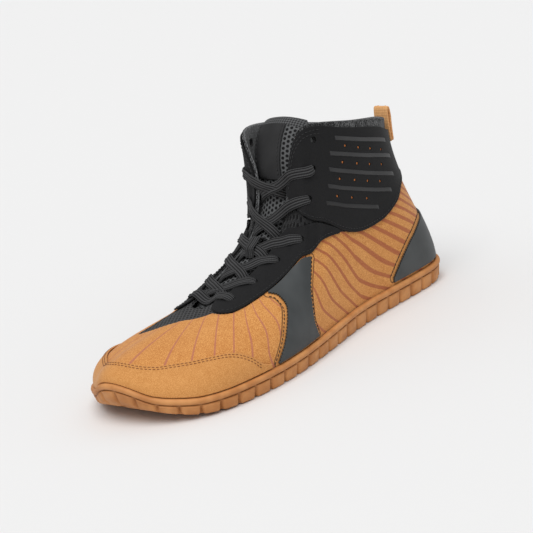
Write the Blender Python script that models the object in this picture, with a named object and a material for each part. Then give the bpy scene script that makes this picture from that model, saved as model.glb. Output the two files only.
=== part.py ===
"""Left barefoot shoe: cup sole, hollow lasted upper, overlays, tongue and flat laces.

Tables are in millimetres on the shoe's own axes. s runs from the heel to the toe, y is negative on
the outer (lateral) side, z is up from the floor. Ribs are numbered round the sole, from the back of
the heel along the outer side to the toe and back along the inner side. v runs up a rib from the
sole (0) to the edge of the throat or collar (1).
"""

import bmesh
import bpy
import numpy as np
from mathutils import Matrix, Vector

# Driving sizes in millimetres
MM = 0.001
SHOE_LENGTH = 287.2
BALL_WIDTH = 104.5
COLLAR_HEIGHT = 126.0

# Sizes for which the tables below are written
TABLE_LENGTH = 287.2
TABLE_BALL_WIDTH = 104.5
TABLE_COLLAR_HEIGHT = 126.0

LENGTH_SCALE = SHOE_LENGTH / TABLE_LENGTH
WIDTH_SCALE = BALL_WIDTH / TABLE_BALL_WIDTH
HEIGHT_SCALE = COLLAR_HEIGHT / TABLE_COLLAR_HEIGHT

# The middle of the outline, which becomes the origin
MIDDLE_S = 142.6
MIDDLE_Y = -3.8

# Walls and gaps
WALL = 2.0
COLLAR_PADDING = 3.0
PADDING_FROM_V = 0.66
PADDING_FULL_V = 0.86
CLEARANCE = 0.4
OVERLAY_THICKNESS = 1.0
OVERLAY_OUT = CLEARANCE + OVERLAY_THICKNESS
EDGE_MARGIN = 0.015
COLUMN_MARGIN = 0.1

# Cup sole
SOLE_MARGIN = 3.0
SOLE_FLOOR = 4.5
FLOOR_GAP = 0.5
LUG_COUNT = 54
LUG_SHOULDER = 0.05
SLIT_DEPTH = 1.5
NOTCH_HEIGHT = 2.2
FEATHER_DROP = 0.5

INSOLE_THICKNESS = 3.5
INSOLE_GAP = 0.7
INSOLE_COLUMNS = 64

COLUMNS_PER_RIB = 3
UPPER_ROWS = 9
EYESTAY_ROWS = 4
ANKLE_ROWS = 6
TOE_CAP_ROWS = 4
COUNTER_ROWS = 4

# Steps along the outline, the edge and the tongue when the nearest place is looked up
OUTLINE_STEPS = 2000
SEARCH_STEPS = 400

EYELET_RADIUS = 2.1
EYELET_SIDES = 6
EYELET_LENGTH = 12.0

LACE_WIDTH = 6.2
LACE_THICKNESS = 1.5
LACE_GAP = 3.6
LACE_LIFT = OVERLAY_OUT + LACE_GAP + LACE_THICKNESS / 2
LACE_ON_TONGUE = 2 * CLEARANCE + LACE_THICKNESS / 2
LACE_LEAN = 0.25
LACE_END = 0.5
LACE_OVER = 0.8
LACE_SAMPLES = 4
STRAND_SAMPLES = 3
BAR_ROW = 1
BAR_FORWARD = 0.012
TOP_LACED_ROW = 6

# name, feather s and y, rise out and up, edge s y z, crown ds dy dz
RIB_COLUMNS = ("s", "y", "out", "up", "edge_s", "edge_y", "edge_z", "crown_s", "crown_y", "crown_z")
RIBS = (
    ("heel_back", 2.0, 1.0, 4.0, 24, 12.8, 1.0, 105.5, 1.0, 0, -36),
    ("heel_corner", 8.8, -24.0, 0.8, 25, 21.2, -10.2, 106.5, 4.0, 1.0, -34),
    ("heel_side", 36.0, -33.0, 2.0, 27, 44.0, -22.5, 113.0, 0.5, -2.5, -34),
    ("rear_waist", 69.5, -34.3, 2.0, 28, 72.0, -28.0, 119.0, 0, -3, -34),
    ("ankle", 102.0, -36.7, 2.0, 28, 100.0, -27.0, 125.5, 2, -4, -34),
    ("collar_corner", 122.0, -40.0, 2.0, 28, 118.5, -21.5, 125.5, 6, -9, -32),
    ("shin", 141.0, -44.0, 2.0, 26, 126.0, -17.5, 108.0, 8, -13, -24),
    ("instep", 161.0, -48.0, 2.0, 23, 131.0, -14.5, 86.0, 10, -16, -14),
    ("midfoot", 183.0, -51.6, 2.5, 21, 142.0, -15.0, 68.0, 10, -18, -10),
    ("ball", 208.0, -53.0, 3.0, 19, 161.0, -15.5, 57.0, 12, -18, -7),
    ("fore", 232.5, -51.0, 3.0, 18, 180.0, -14.0, 50.0, 20, -17, -5),
    ("little_toe", 256.0, -44.5, 3.0, 17, 196.0, -10.0, 45.5, 28, -14, -5),
    ("toe_side", 274.5, -27.0, 2.5, 15, 204.0, -5.0, 43.5, 34, -6, -5),
    ("toe_tip", 282.8, 3.5, 2.0, 12.5, 206.5, 1.0, 43.0, 36, 1, -5),
    ("toe_inner", 273.5, 21.0, 2.5, 16.5, 204.0, 6.0, 43.5, 32, 6.5, -6),
    ("big_toe", 258.0, 37.5, 3.0, 21, 196.0, 8.0, 45.5, 24, 8.0, -9),
    ("fore_inner", 233.0, 44.0, 3.0, 15.5, 180.0, 10.0, 50.0, 13.5, 7.0, -13),
    ("ball_inner", 204.0, 45.0, 2.5, 18, 161.0, 9.5, 57.0, 7.0, 8.0, -13),
    ("mid_inner", 179.0, 41.5, 2.0, 20, 142.0, 9.0, 67.0, 6.5, 8.0, -16),
    ("instep_inner", 155.0, 37.0, 2.0, 24, 131.0, 9.5, 83.5, 4.0, 3.0, -20),
    ("shin_inner", 135.0, 33.5, 2.0, 26, 125.0, 13.0, 105.5, 0.0, -2.0, -28),
    ("corner_inner", 117.0, 31.5, 2.0, 28, 119.5, 22.5, 122.5, 0.5, -2.5, -32),
    ("ankle_inner", 99.0, 30.5, 2.0, 28, 100.0, 28.0, 123.5, 2, 1.5, -34),
    ("waist_inner", 69.0, 30.5, 2.0, 28, 72.0, 28.5, 117.2, 0, 1, -34),
    ("heel_inner", 36.0, 31.5, 2.0, 27, 44.0, 23.5, 109.5, 0.5, 2.0, -34),
    ("heel_corner_inner", 8.8, 25.0, 0.8, 25, 21.2, 12.2, 105.5, 4.0, -1.0, -34),
)
RIB_COUNT = len(RIBS)
RIB = {row[0]: index for index, row in enumerate(RIBS)}

# s, underside z, rim top z: the rocker of the sole from heel to toe
SOLE_PROFILE = (
    (-3, 4.1, 14.8),
    (7, 1.7, 13.7),
    (28, 0.0, 13.0),
    (70, 0.0, 13.0),
    (100, 0.0, 13.3),
    (140, 0.0, 12.6),
    (175, 0.0, 11.8),
    (203, 0.0, 11.7),
    (210, 0.1, 11.7),
    (233, 0.55, 11.7),
    (258, 2.5, 12.4),
    (270, 5.6, 14.4),
    (278, 9.6, 17.0),
    (287, 18.5, 26.5),
)

# inset from the outline, base of the height, height over it, share of the slit depth, notch share
SOLE_RINGS = (
    ("under", 9.0, "bottom", 0.0, 0.0, 0.0),
    ("edge", 2.6, "bottom", 0.0, 0.6, 1.0),
    ("lug_foot", 1.4, "bottom", 1.4, 1.0, 0.8),
    ("lug_top", 0.5, "top", -4.8, 1.0, 0.0),
    ("groove", 1.7, "top", -4.0, 0.0, 0.0),
    ("bead_foot", 0.2, "top", -3.2, 0.0, 0.0),
    ("bead_crown", -0.4, "top", -1.6, 0.0, 0.0),
    ("rim_outer", 0.6, "top", 0.0, 0.0, 0.0),
    ("rim_inner", 2.4, "top", 0.0, 0.0, 0.0),
    ("floor", 2.4, "bottom", SOLE_FLOOR, 0.0, 0.0),
)

# rib, v: the line where the black upper panels meet the tan quarter, outer side
PANEL_LINE = (
    (0.0, 0.66),
    (1.0, 0.645),
    (1.8, 0.59),
    (2.3, 0.505),
    (3.0, 0.435),
    (3.6, 0.42),
    (4.3, 0.445),
    (5.0, 0.46),
    (6.4, 0.51),
    (7.3, 0.60),
    (8.3, 0.675),
    (9.5, 0.693),
    (10.2, 0.715),
    (10.7, 0.78),
    (11.2, 0.88),
)
# rib, v low, v high of the overlays on the outer side
ANKLE_PANEL = (
    (0.0, 0.66, 0.925),
    (1.0, 0.645, 0.935),
    (1.8, 0.59, 0.945),
    (2.3, 0.505, 0.955),
    (3.0, 0.435, 0.965),
    (3.6, 0.42, 0.97),
    (4.3, 0.455, 0.985),
    (5.0, 0.53, 0.985),
    (5.6, 0.592, 0.985),
    (6.2, 0.70, 0.985),
    (6.7, 0.87, 0.985),
)
EYESTAY = (
    (4.5, 0.448, 0.465),
    (5.0, 0.46, 0.515),
    (5.6, 0.482, 0.575),
    (6.4, 0.51, 0.66),
    (7.0, 0.57, 0.755),
    (7.5, 0.617, 0.88),
    (8.0, 0.655, 0.96),
    (8.5, 0.68, 0.985),
    (9.5, 0.693, 0.985),
    (10.2, 0.715, 0.985),
    (10.7, 0.78, 0.985),
    (11.2, 0.90, 0.985),
)
# rib, v low, v high of the toe cap, all round the toe
TOE_CAP = (
    (9.05, 0.03, 0.06),
    (9.3, 0.03, 0.095),
    (9.72, 0.03, 0.22),
    (10.15, 0.03, 0.312),
    (10.55, 0.03, 0.36),
    (11.12, 0.03, 0.385),
    (11.68, 0.03, 0.375),
    (12.15, 0.03, 0.345),
    (12.5, 0.03, 0.31),
    (12.9, 0.03, 0.302),
    (13.5, 0.03, 0.312),
    (14.1, 0.03, 0.327),
    (14.7, 0.03, 0.338),
    (15.4, 0.03, 0.345),
    (15.85, 0.03, 0.312),
    (16.28, 0.03, 0.22),
    (16.7, 0.03, 0.095),
    (16.95, 0.03, 0.06),
)
# share of its height, rear rib, front rib of the midfoot saddle on the outer side
SADDLE = (
    (0.0, 6.9, 8.8),
    (0.3, 7.1, 8.5),
    (0.6, 7.05, 8.4),
    (0.85, 6.75, 8.7),
    (1.0, 6.5, 9.1),
)
SADDLE_COLUMNS = 7
SADDLE_ROWS = 6

# ribs from the back of the heel, v of the upper edge of the heel counter
HEEL_COUNTER = (
    (0.0, 0.375),
    (0.8, 0.37),
    (1.5, 0.335),
    (2.1, 0.26),
    (2.6, 0.15),
    (2.9, 0.06),
)
# v at which the saddles and the counter start over the sole's rim
LAYER_FOOT = 0.03

# number, rib, v of the eyelets on the outer side, from the toe up
EYELETS = (
    (1, 10.35, 0.865),
    (2, 9.5, 0.868),
    (3, 8.5, 0.853),
    (4, 6.85, 0.65),
    (5, 5.5, 0.69),
    (6, 4.85, 0.78),
    (7, 4.55, 0.915),
)

# s, z, y of the middle of the outer face, half width, drop at the side edges, thickness of the tongue
TONGUE = (
    ("top", 104.5, 132.0, 0.5, 16.5, 3.4, 5.0),
    ("shoulder", 109.0, 128.4, 0.5, 20.0, 5.5, 5.5),
    ("collar", 115.0, 121.5, 0.5, 20.0, 5.5, 6.0),
    ("shin", 122.0, 108.0, -0.5, 19.0, 6.5, 5.5),
    ("instep", 127.0, 88.0, -2.5, 18.0, 8.0, 5.0),
    ("bend", 137.0, 70.5, -2.5, 18.0, 7.5, 4.5),
    ("midfoot", 149.0, 61.0, -2.5, 18.0, 7.5, 4.0),
    ("ball", 165.0, 53.5, -2.5, 18.0, 7.0, 4.0),
    ("fore", 182.0, 47.5, -2.5, 17.5, 6.5, 3.5),
    ("vamp", 198.0, 42.3, -2.5, 16.0, 5.5, 3.0),
    ("base", 212.0, 38.6, -2.5, 15.0, 4.0, 3.0),
)
TONGUE_COLUMNS = 7
TONGUE_ROWS = 15

# share of the tongue's length from its top where the patch lies, and how far the keeper reaches
PATCH_SHARES = (0.05, 0.27)
PATCH_HALF_WIDTH = 10.5
PATCH_MIDDLE = 4.5
PATCH_THICKNESS = 0.9
PATCH_COLUMNS = 5
PATCH_ROWS = 6
KEEPER_ROWS = (4, 3)
KEEPER_REACH = 0.055
KEEPER_HALF_WIDTH = 3.2
KEEPER_THICKNESS = 1.0
KEEPER_ARCH = 3.6
KEEPER_LEVEL_SHARE = 0.55
KEEPER_SAMPLES = 7

# v of the lower end, height over the collar, half width, thickness, gap and spread of the pull loop's legs
LOOP_FOOT_V = 0.84
LOOP_RISE = 6.5
LOOP_HALF_WIDTH = 5.5
LOOP_THICKNESS = 1.4
LOOP_LEG_GAP = 0.5
LOOP_SPREAD = 1.0
LOOP_RISE_SAMPLES = 4
LOOP_SAMPLES = 7

# base colour (linear), roughness
MATERIALS = {
    "gum_rubber": ((0.50, 0.25, 0.08), 0.6),
    "tan_suede": ((0.52, 0.23, 0.06), 0.85),
    "tan_nubuck": ((0.55, 0.26, 0.08), 0.8),
    "black_microfibre": ((0.012, 0.012, 0.013), 0.7),
    "black_mesh": ((0.02, 0.02, 0.021), 0.85),
    "slate_synthetic": ((0.035, 0.037, 0.042), 0.55),
    "lace_grey": ((0.035, 0.035, 0.036), 0.8),
    "webbing_tan": ((0.42, 0.20, 0.07), 0.8),
    "footbed_foam": ((0.03, 0.03, 0.032), 0.9),
}


def to_world(point):
    """Turns a table point in millimetres into metres, toe at -X, middle of the outline at the origin."""
    s, y, z = point
    return Vector(((MIDDLE_S - s) * MM, (y - MIDDLE_Y) * MM, z * MM))


def unit(vectors):
    """Scales vectors in the last axis to length one."""
    return vectors / np.linalg.norm(vectors, axis=-1, keepdims=True)


def monotone(xs, ys):
    """Returns a smooth curve through the points that does not overshoot, held level past its ends."""
    xs = np.asarray(xs, float)
    ys = np.asarray(ys, float)
    steps = np.diff(xs)
    slopes = np.diff(ys) / steps
    tangents = np.concatenate([slopes[:1], np.zeros(len(xs) - 2), slopes[-1:]])
    for i in range(1, len(xs) - 1):
        if slopes[i - 1] * slopes[i] > 0:
            tangents[i] = 2 / (1 / slopes[i - 1] + 1 / slopes[i])

    def value(x):
        x = np.clip(np.asarray(x, float), xs[0], xs[-1])
        i = np.clip(np.searchsorted(xs, x, side="right") - 1, 0, len(steps) - 1)
        h = steps[i]
        f = (x - xs[i]) / h
        rise = (1 + 2 * f) * (1 - f) ** 2 * ys[i] + f * f * (3 - 2 * f) * ys[i + 1]
        return rise + h * f * (1 - f) * ((1 - f) * tangents[i] - f * tangents[i + 1])

    return value


def smooth_step(x, low, high):
    """Rises smoothly from 0 at low to 1 at high."""
    f = np.clip((np.asarray(x, float) - low) / (high - low), 0, 1)
    return f * f * (3 - 2 * f)


class ClosedSpline:
    """Cubic spline through the rows of a table, closed on itself."""

    def __init__(self, knots, rows):
        self.knots = knots
        self.rows = rows
        self.steps = np.diff(knots)
        count = len(rows)
        matrix = np.zeros((count, count))
        right = np.zeros_like(rows)
        for i in range(count):
            before = self.steps[i - 1]
            after = self.steps[i]
            matrix[i, i - 1] += before
            matrix[i, i] += 2 * (before + after)
            matrix[i, (i + 1) % count] += after
            rise_after = (rows[(i + 1) % count] - rows[i]) / after
            rise_before = (rows[i] - rows[i - 1]) / before
            right[i] = 6 * (rise_after - rise_before)
        self.bends = np.linalg.solve(matrix, right)

    def __call__(self, knot):
        knot = np.mod(knot, self.knots[-1])
        i = np.clip(np.searchsorted(self.knots, knot, side="right") - 1, 0, len(self.rows) - 1)
        k = (i + 1) % len(self.rows)
        h = self.steps[i][:, None]
        b = (knot - self.knots[i])[:, None] / h
        a = 1 - b
        bend = (a ** 3 - a) * self.bends[i] + (b ** 3 - b) * self.bends[k]
        return a * self.rows[i] + b * self.rows[k] + bend * h * h / 6


class Last:
    """The shoe's surface: ribs from the sole up to the edge, closed round the foot."""

    RIB_STEP = 0.02
    V_STEP = 0.004
    FEATHER_SHARE = 0.75

    def __init__(self):
        rows = np.array([row[1:] for row in RIBS], float)
        lengthwise = [RIB_COLUMNS.index(name) for name in ("s", "edge_s", "crown_s")]
        crosswise = [RIB_COLUMNS.index(name) for name in ("y", "out", "edge_y", "crown_y")]
        upward = [RIB_COLUMNS.index(name) for name in ("up", "edge_z", "crown_z")]
        rows[:, lengthwise] *= LENGTH_SCALE
        rows[:, crosswise] *= WIDTH_SCALE
        rows[:, upward] *= HEIGHT_SCALE
        closed = np.vstack([rows, rows[:1]])
        feather = np.linalg.norm(np.diff(closed[:, :2], axis=0), axis=1)
        edge = np.linalg.norm(np.diff(closed[:, 4:7], axis=0), axis=1)
        steps = feather ** self.FEATHER_SHARE * edge ** (1 - self.FEATHER_SHARE)
        self.knots = np.concatenate([[0], np.cumsum(steps)])
        self.spline = ClosedSpline(self.knots, rows)
        profile = np.array(SOLE_PROFILE, float)
        stations = profile[:, 0] * LENGTH_SCALE
        self.bottom = monotone(stations, profile[:, 1])
        self.top = monotone(stations, profile[:, 2])

    def rows_at(self, rib):
        """Returns the table's columns between ribs."""
        knot = np.interp(np.mod(rib, RIB_COUNT), np.arange(RIB_COUNT + 1), self.knots)
        return self.spline(knot)

    def feather(self, rib):
        """Returns the feather line's s and y and the level outward normal there."""
        rib = np.asarray(rib, float)
        ahead = self.rows_at(rib + self.RIB_STEP)[:, :2]
        behind = self.rows_at(rib - self.RIB_STEP)[:, :2]
        run = unit(ahead - behind)
        return self.rows_at(rib)[:, :2], np.stack([run[:, 1], -run[:, 0]], axis=1)

    def outline(self, rib, inset):
        """Returns s and y of the sole's outline, moved in by the inset."""
        place, normal = self.feather(rib)
        return place + normal * (SOLE_MARGIN - inset)

    def rim(self, rib):
        """Returns the height of the sole's rim beside each rib."""
        return self.top(self.outline(rib, 0.0)[:, 0])

    def point(self, rib, v):
        """Returns the outside of the upper at each rib and v."""
        rib = np.asarray(rib, float)
        v = np.broadcast_to(np.asarray(v, float), rib.shape)[:, None]
        rows = self.rows_at(rib)
        place, normal = self.feather(rib)
        foot = np.column_stack([place, self.rim(rib) - FEATHER_DROP])
        rise = foot + np.column_stack([normal * rows[:, 2:3], rows[:, 3]])
        edge = rows[:, 4:7]
        crown = edge + rows[:, 7:10]
        w = 1 - v
        return w ** 3 * foot + 3 * v * w * w * rise + 3 * v * v * w * crown + v ** 3 * edge

    def normal(self, rib, v):
        """Returns the outward normal of the upper at each rib and v."""
        rib = np.asarray(rib, float)
        v = np.broadcast_to(np.asarray(v, float), rib.shape)
        round_foot = self.point(rib + self.RIB_STEP, v) - self.point(rib - self.RIB_STEP, v)
        up_rib = self.point(rib, v + self.V_STEP) - self.point(rib, v - self.V_STEP)
        return unit(np.cross(round_foot, up_rib))

    def off(self, rib, v, distance):
        """Returns points a distance outside the upper's surface."""
        rib = np.atleast_1d(np.asarray(rib, float))
        distance = np.broadcast_to(np.asarray(distance, float), rib.shape)
        return self.point(rib, v) + self.normal(rib, v) * distance[:, None]

    def wall(self, rib, v):
        """Returns the wall's thickness: thin, and padded at the collar."""
        behind = np.abs((np.asarray(rib, float) + RIB_COUNT / 2) % RIB_COUNT - RIB_COUNT / 2)
        collar = 1 - smooth_step(behind, RIB["rear_waist"], RIB["collar_corner"])
        height = smooth_step(v, PADDING_FROM_V, PADDING_FULL_V)
        return WALL + COLLAR_PADDING * collar * height


LAST = Last()


def make_material(name):
    """Returns the named material, made on first use."""
    material = bpy.data.materials.get(name)
    if material is None:
        colour, roughness = MATERIALS[name]
        material = bpy.data.materials.new(name)
        material.use_nodes = True
        shader = material.node_tree.nodes["Principled BSDF"]
        shader.inputs["Base Color"].default_value = (*colour, 1.0)
        shader.inputs["Roughness"].default_value = roughness
        shader.inputs["Metallic"].default_value = 0.0
    return material


def mesh_object(name, points, faces, material):
    """Makes an object from table points and faces, with its faces turned outward."""
    mesh = bpy.data.meshes.new(name)
    mesh.from_pydata([to_world(point) for point in points], [], faces)
    shape = bmesh.new()
    shape.from_mesh(mesh)
    bmesh.ops.recalc_face_normals(shape, faces=shape.faces)
    bmesh.ops.triangulate(shape, faces=shape.faces)
    shape.to_mesh(mesh)
    shape.free()
    mesh.materials.append(make_material(material))
    thing = bpy.data.objects.new(name, mesh)
    bpy.context.collection.objects.link(thing)
    return thing


def grid_solid(name, outer, inner, closed, material):
    """Makes a solid between two grids of points, which may close on themselves along their first axis."""
    columns, rows = outer.shape[:2]
    points = np.concatenate([outer.reshape(-1, 3), inner.reshape(-1, 3)])
    under = columns * rows
    faces = []
    spans = columns if closed else columns - 1
    for i in range(spans):
        here = i * rows
        there = (i + 1) % columns * rows
        for j in range(rows - 1):
            quad = (here + j, there + j, there + j + 1, here + j + 1)
            faces.append(quad)
            faces.append(tuple(under + corner for corner in reversed(quad)))
        for j in (0, rows - 1):
            faces.append((here + j, there + j, under + there + j, under + here + j))
    if not closed:
        for start in (0, (columns - 1) * rows):
            for j in range(start, start + rows - 1):
                faces.append((j, j + 1, under + j + 1, under + j))
    return mesh_object(name, points, faces, material)


def ladder(start, count):
    """Returns faces that fill a ring by rungs from its first point to the one across."""
    faces = []
    for i in range(count // 2):
        near = (start + i, start + i + 1)
        far = (start + (count - i - 1) % count, start + (count - i) % count)
        faces.append(tuple(dict.fromkeys(near + far)))
    return faces


def ring_solid(name, rings, material):
    """Makes a solid from rings of points, filled across its first and last ring."""
    count = len(rings[0])
    faces = ladder(0, count)
    for k in range(len(rings) - 1):
        low = k * count
        for i in range(count):
            ahead = (i + 1) % count
            faces.append((low + i, low + ahead, low + count + ahead, low + count + i))
    faces.extend(ladder((len(rings) - 1) * count, count))
    return mesh_object(name, np.concatenate(rings), faces, material)


def ribs_by_length(count):
    """Returns a function from a share of the sole's outline to its rib."""
    dense = np.linspace(0, RIB_COUNT, count)
    line = LAST.outline(dense, 0.0)
    length = np.concatenate([[0], np.cumsum(np.linalg.norm(np.diff(line, axis=0), axis=1))])
    return lambda share: np.interp(share, length / length[-1], dense)


RIB_AT = ribs_by_length(OUTLINE_STEPS)


def make_outsole():
    """Makes the cup sole: lugs with slits between them, a groove, a bead, a rim and a floor."""
    marks = (LUG_SHOULDER, 1 - LUG_SHOULDER, 1.0)
    places = np.array([lug + mark for lug in range(LUG_COUNT) for mark in marks])
    slit = np.tile([0.0, 0.0, 1.0], LUG_COUNT)
    rib = RIB_AT(places / LUG_COUNT % 1)
    rings = []
    for _, inset, base, height, slit_share, notch_share in SOLE_RINGS:
        line = LAST.outline(rib, (inset + slit * slit_share * SLIT_DEPTH)[:, None])
        level = LAST.bottom(line[:, 0]) if base == "bottom" else LAST.rim(rib)
        z = level + height + slit * notch_share * NOTCH_HEIGHT
        rings.append(np.column_stack([line, z]))
    return ring_solid("outsole", rings, "gum_rubber")


def make_insole():
    """Makes the footbed that lies on the cup's floor inside the upper."""
    rib = RIB_AT(np.arange(INSOLE_COLUMNS) / INSOLE_COLUMNS)
    line = LAST.outline(rib, SOLE_MARGIN + WALL + INSOLE_GAP)
    under = LAST.bottom(line[:, 0]) + SOLE_FLOOR + FLOOR_GAP
    rings = [np.column_stack([line, under]), np.column_stack([line, under + INSOLE_THICKNESS])]
    return ring_solid("insole", rings, "footbed_foam")


def make_upper():
    """Makes the hollow upper: a skirt inside the cup, and the wall up to throat and collar."""
    rib = np.arange(RIB_COUNT * COLUMNS_PER_RIB) / COLUMNS_PER_RIB
    heights = np.linspace(0, 1, UPPER_ROWS)
    place, normal = LAST.feather(rib)
    outer = []
    inner = []
    floor = LAST.bottom(place[:, 0]) + SOLE_FLOOR + FLOOR_GAP
    outer.append(np.column_stack([place, floor]))
    inner.append(np.column_stack([place - normal * WALL, floor]))
    for v in heights:
        outer.append(LAST.off(rib, v, 0.0))
        inner.append(LAST.off(rib, v, -LAST.wall(rib, v)))
    return grid_solid("upper", np.stack(outer, 1), np.stack(inner, 1), True, "tan_suede")


def make_patch(name, ribs, low, high, rows, material):
    """Makes an overlay on the upper between two v curves along a run of ribs."""
    ribs = np.asarray(ribs, float)
    outer = []
    inner = []
    for share in np.linspace(0, 1, rows):
        v = low + (high - low) * share
        outer.append(LAST.off(ribs, v, OVERLAY_OUT))
        inner.append(LAST.off(ribs, v, CLEARANCE))
    return grid_solid(name, np.stack(outer, 1), np.stack(inner, 1), False, material)


def side_rib(rib, side):
    """Returns the rib on the outer side, or its twin on the inner side."""
    return rib if side == "lateral" else RIB_COUNT - np.asarray(rib, float)


def columns_between(first, last):
    """Returns the upper's own columns between two ribs, with the ribs themselves at the ends."""
    lowest = np.ceil(first * COLUMNS_PER_RIB)
    highest = np.floor(last * COLUMNS_PER_RIB)
    inside = np.arange(lowest, highest + 1) / COLUMNS_PER_RIB
    clear = (inside > first + COLUMN_MARGIN) & (inside < last - COLUMN_MARGIN)
    return np.concatenate([[first], inside[clear], [last]])


def make_table_patch(name, table, side, rows, material):
    """Makes an overlay from a table of rib, v low and v high."""
    low = monotone([row[0] for row in table], [row[1] for row in table])
    high = monotone([row[0] for row in table], [row[2] for row in table])
    ribs = columns_between(table[0][0], table[-1][0])
    return make_patch(name, side_rib(ribs, side), low(ribs), high(ribs), rows, material)


PANEL_V = monotone([row[0] for row in PANEL_LINE], [row[1] for row in PANEL_LINE])


def make_saddle(side):
    """Makes the midfoot saddle between the sole and the eyestay."""
    shares = [row[0] for row in SADDLE]
    rear = monotone(shares, [row[1] for row in SADDLE])
    front = monotone(shares, [row[2] for row in SADDLE])
    outer = []
    inner = []
    for share in np.linspace(0, 1, SADDLE_ROWS):
        ribs = np.linspace(rear(share), front(share), SADDLE_COLUMNS)
        top = PANEL_V(ribs) - EDGE_MARGIN
        v = LAYER_FOOT + (top - LAYER_FOOT) * share
        outer.append(LAST.off(side_rib(ribs, side), v, OVERLAY_OUT))
        inner.append(LAST.off(side_rib(ribs, side), v, CLEARANCE))
    return grid_solid("saddle_" + side, np.stack(outer, 1), np.stack(inner, 1), False, "slate_synthetic")


def make_heel_counter():
    """Makes the counter that wraps the back of the heel over the sole."""
    reach = HEEL_COUNTER[-1][0]
    ribs = columns_between(-reach, reach)
    edge = monotone([row[0] for row in HEEL_COUNTER], [row[1] for row in HEEL_COUNTER])
    low = np.full_like(ribs, LAYER_FOOT)
    return make_patch("heel_counter", ribs, low, edge(np.abs(ribs)), COUNTER_ROWS, "slate_synthetic")


class Tongue:
    """The tongue's outer face, by share of its length from the top and distance across."""

    SHARE_STEP = 0.01

    def __init__(self):
        rows = np.array([row[1:] for row in TONGUE], float)
        rows[:, 0] *= LENGTH_SCALE
        rows[:, 1] *= HEIGHT_SCALE
        rows[:, 2:4] *= WIDTH_SCALE
        steps = np.linalg.norm(np.diff(rows[:, :2], axis=0), axis=1)
        shares = np.concatenate([[0], np.cumsum(steps)]) / steps.sum()
        self.columns = [monotone(shares, rows[:, k]) for k in range(rows.shape[1])]

    def row(self, share):
        """Returns s, z, y of the middle, half width, edge drop and thickness at a share of the length."""
        return [float(column(share)) for column in self.columns]

    def out(self, share, across):
        """Returns the outward direction of the face."""
        _, _, _, half_width, drop, _ = self.row(share)
        slope = 2 * drop * across / half_width ** 2
        return unit(self.up(share) + np.array([0.0, slope, 0.0]))

    def up(self, share):
        """Returns the outward direction at the middle of the tongue."""
        ahead = self.row(min(share + self.SHARE_STEP, 1.0))
        behind = self.row(max(share - self.SHARE_STEP, 0.0))
        run = unit(np.array([ahead[0] - behind[0], 0.0, ahead[1] - behind[1]]))
        return np.array([-run[2], 0.0, run[0]])

    def point(self, share, across, lift):
        """Returns a point across millimetres from the middle and lift millimetres over the face."""
        s, z, middle, half_width, drop, _ = self.row(share)
        fall = drop * (across / half_width) ** 2
        return np.array([s, middle + across, z]) - self.up(share) * fall + self.out(share, across) * lift

    def strip(self, shares, half_widths, columns, lift, middle=0.0):
        """Returns a grid of points over part of the face, its middle so far across."""
        grid = []
        for share, half_width in zip(shares, half_widths):
            line = np.linspace(middle - half_width, middle + half_width, columns)
            grid.append([self.point(share, across, lift) for across in line])
        return np.array(grid)


TONGUE_FACE = Tongue()


def make_tongue():
    """Makes the padded tongue under the throat."""
    shares = np.linspace(0, 1, TONGUE_ROWS)
    rows = [TONGUE_FACE.row(share) for share in shares]
    half_widths = [row[3] for row in rows]
    outer = TONGUE_FACE.strip(shares, half_widths, TONGUE_COLUMNS, 0.0)
    inner = [
        TONGUE_FACE.strip([share], [row[3]], TONGUE_COLUMNS, -row[5])[0] for share, row in zip(shares, rows)
    ]
    return grid_solid("tongue", outer, np.array(inner), False, "black_mesh")


def make_tongue_patch():
    """Makes the plain patch that lies on the top of the tongue."""
    places = np.linspace(PATCH_SHARES[0], PATCH_SHARES[1], PATCH_ROWS)
    widths = [PATCH_HALF_WIDTH] * PATCH_ROWS
    outer = TONGUE_FACE.strip(places, widths, PATCH_COLUMNS, CLEARANCE + PATCH_THICKNESS, PATCH_MIDDLE)
    inner = TONGUE_FACE.strip(places, widths, PATCH_COLUMNS, CLEARANCE, PATCH_MIDDLE)
    return grid_solid("tongue_patch", outer, inner, False, "slate_synthetic")


def make_ribbon(name, path, ups, half_width, thickness, material):
    """Makes a flat ribbon along a path, square to the up directions."""
    path = np.asarray(path, float)
    ups = unit(np.asarray(ups, float))
    across = unit(np.cross(np.gradient(path, axis=0), ups)) * half_width
    lift = unit(np.cross(across, np.gradient(path, axis=0))) * thickness / 2
    lift *= np.sign(np.sum(lift * ups, axis=1))[:, None]
    outer = np.stack([path - across + lift, path + across + lift], 1)
    inner = np.stack([path - across - lift, path + across - lift], 1)
    return grid_solid(name, outer, inner, False, material)


def make_pull_loop():
    """Makes the folded webbing loop on the back of the collar, with both legs outside."""
    back = 0.0
    inside = OVERLAY_OUT + CLEARANCE + LOOP_THICKNESS / 2
    outside = inside + LOOP_THICKNESS + LOOP_LEG_GAP
    heights = np.linspace(LOOP_FOOT_V, 1.0, LOOP_RISE_SAMPLES)
    spread = np.linspace(0, LOOP_SPREAD, LOOP_RISE_SAMPLES)
    rise = [LAST.off(back, v, outside + extra)[0] for v, extra in zip(heights, spread)]
    fall = [LAST.off(back, v, inside)[0] for v in heights[::-1]]
    middle = (rise[-1] + fall[0]) / 2
    reach = (fall[0] - rise[-1]) / 2
    arch = []
    for turn in np.linspace(np.pi, 0, LOOP_SAMPLES)[1:-1]:
        arch.append(middle + reach * np.cos(turn) + np.array([0, 0, LOOP_RISE * np.sin(turn)]))
    path = np.array(rise + arch + fall)
    run = np.gradient(path, axis=0)
    ups = np.cross(np.array([0.0, 1.0, 0.0]), run)
    return make_ribbon("pull_loop", path, ups, LOOP_HALF_WIDTH, LOOP_THICKNESS, "webbing_tan")


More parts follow.
